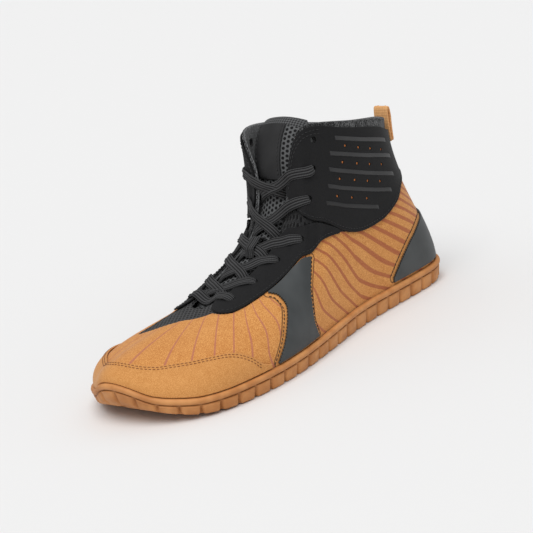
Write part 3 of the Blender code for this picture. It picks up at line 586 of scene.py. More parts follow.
class Board:
    """Adds and joins the shader nodes of one material or group."""

    def __init__(self, tree: Tree) -> None:
        """Keeps the tree."""
        self.tree = tree

    def feed(self, socket: Socket, value: Plug) -> None:
        """Joins a socket to another, or sets its value."""
        if isinstance(value, Socket):
            self.tree.links.new(value, socket)
        else:
            socket.default_value = value

    def add(self, kind: str, plugs: dict, **settings: object) -> Node:
        """Adds a node.

        Args:
            kind: the node's type without its common first part.
            plugs: sockets or values by input name or number.
            settings: properties of the node.

        Returns:
            The node.
        """
        node = self.tree.nodes.new("ShaderNode" + kind)
        for name, value in settings.items():
            setattr(node, name, value)
        for name, value in plugs.items():
            self.feed(node.inputs[name], value)
        return node

    def maths(self, operation: str, first: Plug, second: Plug = 0.0) -> Socket:
        """Returns a function of one or two values."""
        return self.add("Math", {0: first, 1: second}, operation=operation).outputs[0]

    def times(self, first: Plug, second: Plug) -> Socket:
        """Returns the product of two values."""
        return self.maths("MULTIPLY", first, second)

    def plus(self, first: Plug, second: Plug) -> Socket:
        """Returns the sum of two values."""
        return self.maths("ADD", first, second)

    def minus(self, first: Plug, second: Plug) -> Socket:
        """Returns the first value less the second."""
        return self.maths("SUBTRACT", first, second)

    def ramp(
        self, value: Plug, low: Plug, high: Plug, start: float = 0.0, end: float = 1.0
    ) -> Socket:
        """Returns a value that goes smoothly from start at low to end at high."""
        plugs = {0: value, 1: low, 2: high, 3: start, 4: end}
        return self.add("MapRange", plugs, interpolation_type="SMOOTHSTEP").outputs[0]

    def blend(self, share: Plug, first: Plug, second: Plug) -> Socket:
        """Returns a mix of two colours."""
        return self.add("Mix", {0: share, 6: first, 7: second}, data_type="RGBA").outputs[2]

    def mix(self, share: Plug, first: Plug, second: Plug) -> Socket:
        """Returns a mix of two values."""
        return self.add("Mix", {0: share, 2: first, 3: second}, data_type="FLOAT").outputs[0]

    def noise(self, vector: Plug, scale: Plug, detail: float = 2.0) -> Socket:
        """Returns a noise value."""
        plugs = {"Vector": vector, "Scale": scale, "Detail": detail}
        return self.add("TexNoise", plugs).outputs["Fac"]

    def attribute(self, name: str) -> Socket:
        """Returns one of the piece's own values."""
        return self.add("Attribute", {}, attribute_name=name).outputs["Fac"]

    def millimetres(self) -> Socket:
        """Returns the place on the object in millimetres."""
        place = self.add("TexCoord", {}).outputs["Object"]
        return self.add("VectorMath", {0: place, "Scale": 1000.0}, operation="SCALE").outputs[0]

    def own_uv(self) -> Socket:
        """Returns the piece's own UV place."""
        return self.add("TexCoord", {}).outputs["UV"]

    def group(self, tree: Tree, plugs: dict) -> Node:
        """Adds a shared group of nodes."""
        node = self.tree.nodes.new("ShaderNodeGroup")
        node.node_tree = tree
        for name, value in plugs.items():
            self.feed(node.inputs[name], value)
        return node

    def bump(self, shader: Node, height: Plug) -> None:
        """Gives the shader a bump from a height in millimetres."""
        plugs = {"Strength": 1.0, "Distance": MM, "Height": height}
        self.feed(shader.inputs["Normal"], self.add("Bump", plugs).outputs[0])


def new_group(name: str, inputs: dict[str, str], outputs: Sequence[str]) -> tuple[Tree, Board, dict, dict]:
    """Starts a shared group of nodes.

    Args:
        name: the group's name.
        inputs: socket types by input name.
        outputs: names of the values it puts out.

    Returns:
        The tree, its board, its inputs and its outputs by name.
    """
    tree = bpy.data.node_groups.new(name, "ShaderNodeTree")
    for key, kind in inputs.items():
        tree.interface.new_socket(key, in_out="INPUT", socket_type="NodeSocket" + kind)
    for key in outputs:
        tree.interface.new_socket(key, in_out="OUTPUT", socket_type="NodeSocketFloat")
    start = tree.nodes.new("NodeGroupInput")
    end = tree.nodes.new("NodeGroupOutput")
    return tree, Board(tree), {k: start.outputs[k] for k in inputs}, {k: end.inputs[k] for k in outputs}


# share of the fine grain's scale, weight in the shade, detail of the layers of a nap
NAP_LAYERS = ((1.0, 0.8, 3.0), (0.11, 0.12, 3.0), (0.02, 0.08, 1.0))
NAP_CONTRAST = (0.34, 0.66)
BRUSHED_HEIGHT = 0.5


def fibre_nap() -> Tree:
    """Returns the group for the nap of suede and brushed cloth, made on first use."""
    found = bpy.data.node_groups.get("fibre_nap")
    if found:
        return found
    inputs = {"Vector": "Vector", "Grain": "Float"}
    tree, board, given, out = new_group("fibre_nap", inputs, ("Shade", "Height"))
    scale = board.maths("DIVIDE", 1.0, given["Grain"])
    layers = []
    total: Plug = 0.0
    for share, weight, detail in NAP_LAYERS:
        layers.append(board.noise(given["Vector"], board.times(scale, share), detail))
        total = board.plus(total, board.times(layers[-1], weight))
    board.feed(out["Shade"], board.ramp(total, *NAP_CONTRAST))
    brushed = board.times(layers[1], BRUSHED_HEIGHT)
    board.feed(out["Height"], board.plus(layers[0], brushed))
    return tree


def hex_openings() -> Tree:
    """Returns the group for openings in staggered rows, as in a coarse mesh, made on first use."""
    found = bpy.data.node_groups.get("hex_openings")
    if found:
        return found
    tree, board, given, out = new_group("hex_openings", {"Vector": "Vector", "Pitch": "Float"}, ("Opening",))
    apart = board.add("SeparateXYZ", {0: given["Vector"]})
    turn = board.maths("DIVIDE", 2 * math.pi * 2 / math.sqrt(3), given["Pitch"])
    total: Plug = 0.0
    for angle in (0.0, 120.0, 240.0):
        x = board.times(apart.outputs[0], math.cos(math.radians(angle)))
        y = board.times(apart.outputs[1], math.sin(math.radians(angle)))
        wave = board.maths("COSINE", board.times(board.plus(x, y), turn))
        total = board.plus(total, wave)
    board.feed(out["Opening"], board.ramp(total, -0.3, 0.7))
    return tree


def braid() -> Tree:
    """Returns the group for the crossed yarns of laces, knit and webbing, made on first use."""
    found = bpy.data.node_groups.get("braid")
    if found:
        return found
    tree, board, given, out = new_group("braid", {"Vector": "Vector", "Pitch": "Float"}, ("Yarn",))
    apart = board.add("SeparateXYZ", {0: given["Vector"]})
    turn = board.maths("DIVIDE", math.pi, given["Pitch"])
    plus = board.times(board.plus(apart.outputs[0], apart.outputs[1]), turn)
    minus = board.times(board.minus(apart.outputs[0], apart.outputs[1]), turn)
    product = board.times(board.maths("SINE", plus), board.maths("SINE", minus))
    board.feed(out["Yarn"], board.plus(board.times(product, 0.5), 0.5))
    return tree


@dataclass(frozen=True)
class Finish:
    """A finish by name, with its colours and how its surface takes the light."""

    name: str
    slot: Slot
    dark: Colour
    light: Colour
    roughness: float = 0.8
    sheen: float = 0.0
    specular: float = 0.4
    sheen_roughness: ClassVar[float] = 0.45

    def material(self) -> bpy.types.Material:
        """Returns the finish's material, made on first use."""
        found = bpy.data.materials.get("look_" + self.name)
        if found:
            return found
        material = bpy.data.materials.new("look_" + self.name)
        material.use_nodes = True
        shader = material.node_tree.nodes["Principled BSDF"]
        shader.inputs["Roughness"].default_value = self.roughness
        shader.inputs["Specular IOR Level"].default_value = self.specular
        shader.inputs["Sheen Weight"].default_value = self.sheen
        shader.inputs["Sheen Roughness"].default_value = self.sheen_roughness
        self.paint(Board(material.node_tree), shader)
        return material

    def paint(self, board: Board, shader: Node) -> None:
        """Adds the finish's own nodes."""
        raise NotImplementedError


@dataclass(frozen=True)
class NapFinish(Finish):
    """Suede, nubuck and microfibre: a brushed nap of short fibres."""

    grain: float = 0.55
    relief: float = 0.10

    def paint(self, board: Board, shader: Node) -> None:
        """Adds the nap's shade and bump."""
        nap = board.group(fibre_nap(), {"Vector": board.millimetres(), "Grain": self.grain})
        board.feed(shader.inputs["Base Color"], board.blend(nap.outputs["Shade"], self.dark, self.light))
        board.bump(shader, board.times(nap.outputs["Height"], self.relief))


@dataclass(frozen=True)
class UpperFinish(Finish):
    """The lasted upper: tan suede with fan lines, black mesh, knit collar and lining."""

    line: Colour = srgb(176, 108, 86)
    heel_line: Colour = srgb(160, 86, 56)
    edge_line: Colour = srgb(58, 36, 24)
    mesh: Colour = srgb(62, 62, 63)
    # the mesh in painted shade, used away from the toe and in the eyelets' walls
    shaded_mesh: Colour = srgb(36, 36, 37)
    # the mesh's openings: the dark lining behind them, deepened by painted shade
    opening_shade: Colour = srgb(7, 7, 8)
    knit: Colour = srgb(128, 129, 130)
    lining: Colour = srgb(34, 34, 35)
    flap_lining: Colour = srgb(88, 89, 90)
    mesh_pitch: float = 2.6
    knit_pitch: float = 1.1
    grain: float = 0.55
    suede_relief: float = 0.10
    yarn_relief: float = 0.25
    opening_depth: float = 0.5
    # shares of a fan line's half width where it fades, and how strong it is on dark and light nap
    line_fade: tuple = (0.75, 1.25)
    line_strength: tuple = (0.92, 0.72)
    # fan numbers between which the lines turn to the heel's colour, and the mesh to its painted shade
    heel_fans: tuple = (6.0, 13.0)
    shaded_fans: tuple = (1.0, 7.0)
    # millimetres: the plain trim beside the slate layers, its blur, and its dark edge's fade
    trim_width: float = 2.8
    trim_blur: float = 0.2
    edge_fade: tuple = (0.25, 0.55)
    edge_strength: float = 0.75
    speck_scale: float = 1.1
    speck_levels: tuple = (0.42, 0.6)

    def suede(self, board: Board, nap: Node) -> Socket:
        """Returns the tan nap's colour with its fan lines and the dark edge of its trim."""
        tan = board.blend(nap.outputs["Shade"], self.dark, self.light)
        fan = board.attribute("fan")
        nearest = board.maths("ABSOLUTE", board.minus(fan, board.maths("ROUND", fan)))
        half = board.attribute("fan_half")
        fade = [board.times(half, share) for share in self.line_fade]
        inside = board.ramp(nearest, *fade, 1.0, 0.0)
        trim = board.attribute("trim")
        shown = board.ramp(trim, self.trim_width - self.trim_blur, self.trim_width + self.trim_blur)
        worn = board.ramp(nap.outputs["Shade"], 0.0, 1.0, *self.line_strength)
        line = board.blend(board.ramp(fan, *self.heel_fans), self.line, self.heel_line)
        tan = board.blend(board.times(board.times(inside, shown), worn), tan, line)
        rim = board.maths("ABSOLUTE", board.minus(trim, self.trim_width))
        return board.blend(board.ramp(rim, *self.edge_fade, self.edge_strength, 0.0), tan, self.edge_line)

    def paint(self, board: Board, shader: Node) -> None:
        """Adds suede, mesh, knit and lining, each where the piece's values put it."""
        place = board.millimetres()
        nap = board.group(fibre_nap(), {"Vector": place, "Grain": self.grain})
        holes = board.group(hex_openings(), {"Vector": place, "Pitch": self.mesh_pitch}).outputs["Opening"]
        yarn = board.group(braid(), {"Vector": place, "Pitch": self.knit_pitch}).outputs["Yarn"]
        # painted shade: the mesh darkens along the fans from the toe back
        shaded = board.ramp(board.attribute("fan"), *self.shaded_fans)
        # the near-black openings are painted shade over the dark lining
        mesh = board.blend(holes, board.blend(shaded, self.mesh, self.shaded_mesh), self.opening_shade)
        speck = board.ramp(board.noise(place, self.speck_scale, 1.0), *self.speck_levels)
        fleck = board.times(speck, yarn)
        knit = board.ramp(board.attribute("knit"), -0.2, 0.2)
        cloth = board.blend(knit, mesh, board.blend(fleck, self.lining, self.knit))
        black = board.ramp(board.attribute("black"), -0.15, 0.15)
        colour = board.blend(black, self.suede(board, nap), cloth)
        lined = board.ramp(board.attribute("lined"), 0.35, 0.65)
        inner = board.blend(fleck, self.flap_lining, self.knit)
        board.feed(shader.inputs["Base Color"], board.blend(lined, colour, inner))
        suede = board.times(nap.outputs["Height"], self.suede_relief)
        deep = board.times(holes, self.opening_depth)
        weave = board.minus(board.times(yarn, self.yarn_relief), deep)
        board.bump(shader, board.mix(black, suede, weave))


@dataclass(frozen=True)
class MeshFinish(Finish):
    """Coarse air mesh on the piece's own UV in millimetres, with a knit rolled top."""

    pitch: float = 3.0
    opening_depth: float = 0.7
    knit_gap: Colour = srgb(88, 89, 90)
    knit_yarn: Colour = srgb(34, 34, 35)
    knit_pitch: float = 1.7
    knit_relief: float = 0.3

    def paint(self, board: Board, shader: Node) -> None:
        """Adds the openings and the knit of the rolled top."""
        place = board.own_uv()
        holes = board.group(hex_openings(), {"Vector": place, "Pitch": self.pitch}).outputs["Opening"]
        yarn = board.group(braid(), {"Vector": place, "Pitch": self.knit_pitch}).outputs["Yarn"]
        rolled = board.ramp(board.attribute("rolled"), 0.4, 0.6)
        # the openings take the dark colour: painted shade over what lies behind them
        mesh = board.blend(holes, self.light, self.dark)
        knit = board.blend(board.ramp(yarn, 0.3, 0.7), self.knit_gap, self.knit_yarn)
        board.feed(shader.inputs["Base Color"], board.blend(rolled, mesh, knit))
        deep = board.times(holes, -self.opening_depth)
        board.bump(shader, board.mix(rolled, deep, board.times(yarn, self.knit_relief)))


@dataclass(frozen=True)
class YarnFinish(Finish):
    """Laces, webbing and thread: crossed yarns on the piece's own UV in millimetres."""

    pitch: float = 0.9
    relief: float = 0.22
    rib_pitch: float = 0.0
    # shade of the yarns' gaps on a rib, and levels of the wave between a rib's groove and its crest
    gap_shade: float = 0.5
    rib_levels: tuple = (-0.9, 0.4)

    def paint(self, board: Board, shader: Node) -> None:
        """Adds the yarns' shade and bump."""
        place = board.own_uv()
        yarn = board.group(braid(), {"Vector": place, "Pitch": self.pitch}).outputs["Yarn"]
        shade = yarn
        if self.rib_pitch:
            across = board.add("SeparateXYZ", {0: place}).outputs[1]
            wave = board.maths("COSINE", board.times(across, 2 * math.pi / self.rib_pitch))
            yarns = board.ramp(yarn, 0.0, 1.0, self.gap_shade, 1.0)
            shade = board.times(yarns, board.ramp(wave, *self.rib_levels))
        board.feed(shader.inputs["Base Color"], board.blend(shade, self.dark, self.light))
        board.bump(shader, board.times(yarn, self.relief))


@dataclass(frozen=True)
class SmoothFinish(Finish):
    """Coated synthetic and satin strips: a fine pebble under a low gloss."""

    grain: float = 0.8
    relief: float = 0.03
    cloud_scale: float = 0.05
    fades_to: Optional[Colour] = None

    def paint(self, board: Board, shader: Node) -> None:
        """Adds faint cloudiness and a fine pebble, and fades where the piece's own value says so."""
        place = board.millimetres()
        pebble = board.noise(place, 1.0 / self.grain, 2.0)
        cloud = board.noise(place, self.cloud_scale, 2.0)
        colour = board.blend(board.ramp(cloud, 0.3, 0.7), self.dark, self.light)
        if self.fades_to:
            colour = board.blend(board.attribute("fade"), colour, self.fades_to)
        board.feed(shader.inputs["Base Color"], colour)
        board.bump(shader, board.times(pebble, self.relief))


@dataclass(frozen=True)
class RubberFinish(Finish):
    """Moulded gum rubber, with painted shade where the mould is deep."""

    # colour and strength of the painted shade in the grooves, slits and the cup's floor
    deep: Colour = srgb(118, 74, 41)
    shade_strength: float = 0.8
    cloud_scale: float = 0.09
    grain_scale: float = 2.2
    relief: float = 0.05
    # roughness at the grain's hollows and tops
    gloss: tuple = (0.48, 0.66)

    def paint(self, board: Board, shader: Node) -> None:
        """Adds faint clouds, a fine mould texture and painted shade in the recesses."""
        place = board.millimetres()
        cloud = board.noise(place, self.cloud_scale, 3.0)
        fine = board.noise(place, self.grain_scale, 2.0)
        tan = board.blend(board.ramp(cloud, 0.3, 0.7), self.dark, self.light)
        # painted shade where the piece's recess value says so
        shade_share = board.times(board.attribute("recess_shade"), self.shade_strength)
        board.feed(shader.inputs["Base Color"], board.blend(shade_share, tan, self.deep))
        board.feed(shader.inputs["Roughness"], board.ramp(fine, 0.2, 0.8, *self.gloss))
        board.bump(shader, board.times(fine, self.relief))


# name, slot, dark and light colour, roughness, sheen, specular
SUEDE = UpperFinish("upper", Slot.SUEDE, srgb(182, 116, 57), srgb(218, 158, 92), 0.9, 0.12, 0.2)
NUBUCK = NapFinish(
    "nubuck", Slot.NUBUCK, srgb(182, 121, 61), srgb(213, 155, 93), 0.88, 0.12, 0.2, grain=0.4, relief=0.06
)
MICROFIBRE = NapFinish(
    "microfibre", Slot.MICROFIBRE, srgb(15, 15, 16), srgb(28, 28, 29), 0.8, 0.03, 0.2, grain=0.35, relief=0.05
)
# the dark colour is the mesh's openings: what lies behind them, deepened by painted shade
MESH = MeshFinish("mesh", Slot.MESH, srgb(5, 5, 6), srgb(88, 89, 90), 0.8, 0.05, 0.25)
SLATE = SmoothFinish("slate", Slot.SLATE, srgb(52, 55, 56), srgb(64, 67, 68), 0.5, 0.0, 0.35)
SATIN = SmoothFinish(
    "satin", Slot.SLATE, srgb(44, 44, 45), srgb(52, 52, 53), 0.5, 0.0, 0.35, fades_to=srgb(24, 24, 25)
)
PATCH = SmoothFinish("patch", Slot.SLATE, srgb(26, 26, 27), srgb(36, 36, 37), 0.55, 0.0, 0.3)
LACE = YarnFinish("lace", Slot.LACE, srgb(18, 18, 19), srgb(74, 74, 75), 0.85, 0.05, 0.2, rib_pitch=1.6)
WEBBING = YarnFinish(
    "webbing", Slot.WEBBING, srgb(200, 138, 84), srgb(244, 192, 132), 0.85, 0.1, 0.3, pitch=1.0, relief=0.25
)
GUM = RubberFinish("gum", Slot.GUM, srgb(179, 118, 66), srgb(203, 143, 87), 0.56, 0.0, 0.3)
FOOTBED = YarnFinish(
    "footbed", Slot.FOOTBED, srgb(24, 24, 25), srgb(50, 50, 52), 0.92, 0.1, 0.25, pitch=1.3, relief=0.15
)
ORANGE = SmoothFinish("perforation", Slot.SUEDE, srgb(178, 100, 42), srgb(198, 118, 56), 0.7)
BROWN_THREAD = SmoothFinish("brown_thread", Slot.SUEDE, srgb(124, 75, 40), srgb(146, 92, 52), 0.7)
DARK_THREAD = SmoothFinish("dark_thread", Slot.MICROFIBRE, srgb(34, 26, 22), srgb(48, 40, 34), 0.7)
BLACK_THREAD = SmoothFinish(
    "black_thread", Slot.MICROFIBRE, srgb(34, 34, 35), srgb(44, 44, 45), 0.6, 0.0, 0.3
)


def start_fresh() -> None:
    """Leaves nothing selected."""
    bpy.ops.object.select_all(action="DESELECT")


def pick(piece: Piece) -> None:
    """Makes a piece the only one selected and active."""
    start_fresh()
    piece.select_set(True)
    bpy.context.view_layer.objects.active = piece


def loft(name: str, points: Array) -> Piece:
    """Adds a grid and lays its corners on a table of points.

    Args:
        name: the piece's name.
        points: rows by columns of table points in millimetres.

    Returns:
        The piece.
    """
    rows, count = points.shape[:2]
    start_fresh()
    bpy.ops.mesh.primitive_grid_add(x_subdivisions=count - 1, y_subdivisions=rows - 1, size=1.0)
    piece = bpy.context.active_object
    piece.name = name
    piece.data.name = name
    piece.data.vertices.foreach_set("co", to_frame(points).astype(np.float32).ravel())
    piece.data.update()
    return piece


def give(piece: Piece, name: str, values: Array) -> None:
    """Stores one value for each corner of a lofted piece."""
    attribute = piece.data.attributes.new(name, "FLOAT", "POINT")
    attribute.data.foreach_set("value", np.asarray(values, np.float32).ravel())


def lay_uv(piece: Piece, u: Array, v: Array) -> None:
    """Sets a lofted piece's UV map from values at its corners."""
    corners = np.zeros(len(piece.data.loops), np.int32)
    piece.data.loops.foreach_get("vertex_index", corners)
    pairs = np.stack([np.ravel(u), np.ravel(v)], axis=1)[corners]
    piece.data.uv_layers.active.data.foreach_set("uv", pairs.astype(np.float32).ravel())


def weld(piece: Piece, smooth_deg: float = SMOOTH_DEG) -> Piece:
    """Closes a piece's seams, turns its faces outward and smooths it.

    Args:
        piece: the piece.
        smooth_deg: the sharpest edge that stays smooth.

    Returns:
        The same piece.
    """
    pick(piece)
    bpy.ops.object.mode_set(mode="EDIT")
    bpy.ops.mesh.select_all(action="SELECT")
    bpy.ops.mesh.remove_doubles(threshold=1e-6)
    bpy.ops.mesh.normals_make_consistent(inside=False)
    bpy.ops.object.mode_set(mode="OBJECT")
    bpy.ops.object.shade_smooth_by_angle(angle=math.radians(smooth_deg))
    return piece


def finish_with(piece: Piece, kind: str, **settings: object) -> None:
    """Adds a modifier to a piece and applies it."""
    pick(piece)
    modifier = piece.modifiers.new(kind.lower(), kind)
    for name, value in settings.items():
        setattr(modifier, name, value)
    bpy.ops.object.modifier_apply(modifier=modifier.name)


def join(name: str, pieces: Sequence[Piece]) -> Piece:
    """Joins pieces into the first, and names it."""
    start_fresh()
    for piece in pieces:
        piece.select_set(True)
    bpy.context.view_layer.objects.active = pieces[0]
    bpy.ops.object.join()
    pieces[0].name = name
    pieces[0].data.name = name
    return pieces[0]


def dress(piece: Piece, finish: Finish, *nodes: str) -> Piece:
    """Gives a piece its finish and its place in the frame.

    Args:
        piece: the piece.
        finish: its finish.
        nodes: the solids that it stands for.

    Returns:
        The same piece.
    """
    piece.data.materials.clear()
    piece.data.materials.append(finish.material())
    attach(piece, "root")
    if nodes:
        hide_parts(*nodes)
    LOG.info("%s: %d faces, %s", piece.name, len(piece.data.polygons), finish.name)
    return piece


def shell(name: str, outer: Array, inner: Array, roll: float) -> Piece:
    """Makes a thin closed piece with rounded rims between two grids.

    Args:
        name: the piece's name.
        outer, inner: rows by columns of table points of its two faces.
        roll: how far the rims bulge, as a share of the thickness.

    Returns:
        The piece, welded.
    """

    def rim(face: Array, back: Array, behind: Array) -> Array:
        """Returns the rim between two edges, bulged away from the face."""
        thickness = np.linalg.norm(face - back, axis=-1, keepdims=True)
        return (face + back) / 2 + unit(face - behind) * thickness * roll

    low = rim(outer[0], inner[0], outer[1])
    high = rim(outer[-1], inner[-1], outer[-2])
    rows = np.concatenate([low[None], outer, high[None], inner[::-1], low[None]])
    ends = []
    for edge, next_in in ((0, 1), (-1, -2)):
        side = rim(outer[:, edge], inner[:, edge], outer[:, next_in])
        corner_low = (low[edge] + side[0]) / 2
        corner_high = (high[edge] + side[-1]) / 2
        ends.append(np.concatenate([[corner_low], side, [corner_high], side[::-1], [corner_low]]))
    points = np.concatenate([ends[0][:, None], rows, ends[1][:, None]], axis=1)
    return weld(loft(name, points))


def layer(name: str, last: Last, ribs: Array, v: Array, roll: float) -> Piece:
    """Makes a layer of the overlays' thickness, a little clear of the upper.

    Args:
        name: the piece's name.
        last: the shoe's surface.
        ribs, v: rows by columns of places on it.
        roll: how far the rims bulge, as a share of the thickness.

    Returns:
        The piece, welded.
    """
    return shell(name, last.off(ribs, v, last.overlay_out), last.off(ribs, v, last.clearance), roll)


@dataclass(frozen=True)
class Thread:
    """A sewing thread and its stitch, in millimetres."""

    finish: Finish
    length: float
    pitch: float
    radius: float
    segments: ClassVar[int] = 6
    rings: ClassVar[int] = 5

    def sew(self, name: str, path: Array) -> Piece:
        """Sews a seam along a path.

        Args:
            name: the seam's name.
            path: table points of the seam.

        Returns:
            The row of stitches, dressed.
        """
        start_fresh()
        bpy.ops.curve.primitive_nurbs_path_add()
        line = bpy.context.active_object
        line.data.splines.clear()
        spline = line.data.splines.new("POLY")
        spline.points.add(len(path) - 1)
        places = np.column_stack([to_frame(path), np.ones(len(path))])
        spline.points.foreach_set("co", places.astype(np.float32).ravel())
        start_fresh()
        bpy.ops.mesh.primitive_uv_sphere_add(
            segments=self.segments, ring_count=self.rings, radius=1.0, rotation=(0, math.pi / 2, 0)
        )
        stitch = bpy.context.active_object
        stitch.scale = (self.radius * MM, self.radius * MM, self.length / 2 * MM)
        bpy.ops.object.transform_apply(location=True, rotation=True, scale=True)
        stitch.name = name
        stitch.data.name = name
        step = (self.pitch * MM, 0.0, 0.0)
        finish_with(
            stitch, "ARRAY", fit_type="FIT_CURVE", curve=line, use_relative_offset=False,
            use_constant_offset=True, constant_offset_displace=step,
        )
        finish_with(stitch, "CURVE", object=line, deform_axis="POS_X")
        bpy.data.objects.remove(line, do_unlink=True)
        pick(stitch)
        bpy.ops.object.shade_smooth()
        return dress(stitch, self.finish)


BROWN_STITCH = Thread(BROWN_THREAD, 1.7, 2.3, 0.28)
DARK_STITCH = Thread(DARK_THREAD, 1.9, 2.6, 0.3)
BLACK_STITCH = Thread(BLACK_THREAD, 2.0, 2.7, 0.28)


@dataclass
class CupSole:
    """The gum cup sole: tread, lugs with slits, groove, bead and rim."""

    last: Last
    lugs: int = 54
    slit_depth: float = 1.7
    notch_height: float = 2.6
    under_rows: int = 36
    tread_pitch: float = 12.0
    tread_width: float = 0.2
    tread_depth: float = 1.1
    tread_wave: float = 3.2
    wave_length: float = 27.0
    # shares of the tread's width where a groove's wall is, and of the way in where the grooves start
    groove_wall: tuple = (0.35, 0.65)
    tread_start: tuple = (0.04, 0.12)
    # painted shade in the slits and on the cup's floor
    slit_shade: float = 0.5
    cup_floor_shade: float = 0.5
    # share of a lug, share of the slit
    marks: tuple = (
        (0.0, 1.0), (0.035, 0.84), (0.08, 0.4), (0.125, 0.1), (0.18, 0.0),
        (0.5, 0.0), (0.82, 0.0), (0.875, 0.1), (0.92, 0.4), (0.965, 0.84),
    )
    # inset, share of the way from underside to rim, height over it, slit share, notch share, painted shade of
    # the recess
    side_rows: tuple = (
        (3.6, 0.0, 0.0, 0.4, 0.8, 0.0), (2.6, 0.0, 0.05, 0.6, 1.0, 0.0), (1.9, 0.0, 0.55, 0.9, 0.9, 0.0),
        (1.4, 0.0, 1.4, 1.0, 0.8, 0.0), (1.05, 0.3, 0.3, 1.0, 0.2, 0.0), (0.5, 1.0, -4.9, 1.0, 0.0, 0.0),
        (0.75, 1.0, -4.4, 0.6, 0.0, 0.1), (1.5, 1.0, -4.0, 0.0, 0.0, 0.9), (1.2, 1.0, -3.65, 0.0, 0.0, 0.5),
        (0.25, 1.0, -3.2, 0.0, 0.0, 0.1), (-0.25, 1.0, -2.5, 0.0, 0.0, 0.0), (-0.4, 1.0, -1.6, 0.0, 0.0, 0.0),
        (-0.15, 1.0, -0.7, 0.0, 0.0, 0.0), (0.55, 1.0, -0.1, 0.0, 0.0, 0.0), (1.2, 1.0, 0.0, 0.0, 0.0, 0.0),
        (2.4, 1.0, 0.0, 0.0, 0.0, 0.3), (2.4, 0.0, 4.5, 0.0, 0.0, 0.5),
    )

    def tread(self, line: Array) -> Array:
        """Returns how deep the tread's wave grooves are at places under the sole."""
        wave = self.tread_wave * np.sin(2 * np.pi * line[:, 1] / self.wave_length)
        phase = (line[:, 0] + wave) / self.tread_pitch
        nearest = np.abs(phase - np.round(phase))
        return 1 - smooth_step(nearest, *(self.tread_width * share for share in self.groove_wall))

    def build(self) -> Piece:
        """Returns the sole as one closed piece."""
        shares = np.array([lug + mark for lug in range(self.lugs) for mark, _ in self.marks] + [self.lugs])
        slit = np.array([cut for _ in range(self.lugs) for _, cut in self.marks] + [self.marks[0][1]])
        rib = self.last.ribs_by_length(shares / self.lugs)
        rows = []
        recess_shade = []
        inset, _, _, cut, _, _ = self.side_rows[0]
        edge = self.last.outline(rib, (inset + slit * cut * self.slit_depth)[:, None])
        spine = self.last.spine(edge[:, 0])
        for share in np.linspace(1, 0, self.under_rows, endpoint=False):
            line = edge + (spine - edge) * share
            groove = self.tread(line) * smooth_step(share, *self.tread_start)
            rows.append(np.column_stack([line, self.last.bottom(line[:, 0]) + groove * self.tread_depth]))
            # the tread's grooves get painted shade
            recess_shade.append(groove)
        for inset, way, height, cut, notch, deep in self.side_rows:
            line = self.last.outline(rib, (inset + slit * cut * self.slit_depth)[:, None])
            low = self.last.bottom(line[:, 0])
            z = low + (self.last.rim(rib) - low) * way + height + slit * notch * self.notch_height
            rows.append(np.column_stack([line, z]))
            # painted shade in the groove below the bead, inside the rim and in the slits
            recess_shade.append(np.maximum(deep, slit**3 * cut * self.slit_shade))
        rows.append(np.column_stack([spine, self.last.bottom(spine[:, 0]) + self.last.sole_floor]))
        recess_shade.append(np.full(len(rib), self.cup_floor_shade))
        piece = loft("cup_sole", np.stack(rows))
        give(piece, "recess_shade", np.stack(recess_shade))
        return weld(piece, 40.0)

    def make(self) -> None:
        """Builds and dresses the sole."""
        dress(self.build(), GUM, "outsole")


@dataclass
class Footbed:
    """The loose footbed on the cup's floor, with a soft rounded edge."""

    last: Last
    thickness: float = 3.5
    gap: float = 0.7
    columns: int = 220
    rows: int = 14
    # shares of the way in of the underside's rows, the last on the edge, and the edge's lift
    under_shares: tuple = (1.0, 0.5, 0.03, 0.0)
    edge_lift: float = 0.3
    edge_height: float = 0.6
    edge_round: tuple = (-0.02, 0.05)
    # how much the heel end is cupped, over which shares of the way in, and where along s it ends
    cup: float = 1.2
    cup_shares: tuple = (0.05, 0.7)
    cup_end: tuple = (90, 150)

    def make(self) -> None:
        """Builds and dresses the footbed."""
        rib = self.last.ribs_by_length(np.linspace(0, 1, self.columns + 1))
        inset = self.last.sole_margin + self.last.wall_thickness + self.gap
        edge = self.last.outline(rib, inset)
        spine = self.last.spine(edge[:, 0])
        rows = []
        for share in self.under_shares:
            line = edge + (spine - edge) * share
            lift = 0.0 if share else self.thickness * self.edge_lift
            rows.append(np.column_stack([line, self.last.floor(line[:, 0]) + lift]))
        for share in np.linspace(0, 1, self.rows):
            line = edge + (spine - edge) * share
            rounding = smooth_step(share, *self.edge_round)
            cup = self.cup * (1 - smooth_step(share, *self.cup_shares))
            cup = cup * (1 - smooth_step(line[:, 0], *self.cup_end))
            height = self.thickness * (self.edge_height + (1 - self.edge_height) * rounding)
            rows.append(np.column_stack([line, self.last.floor(line[:, 0]) + height + cup * rounding]))
        points = np.stack(rows)
        piece = loft("footbed", points)
        lay_uv(piece, points[..., 0], points[..., 1])
        dress(weld(piece, 60.0), FOOTBED, "insole")


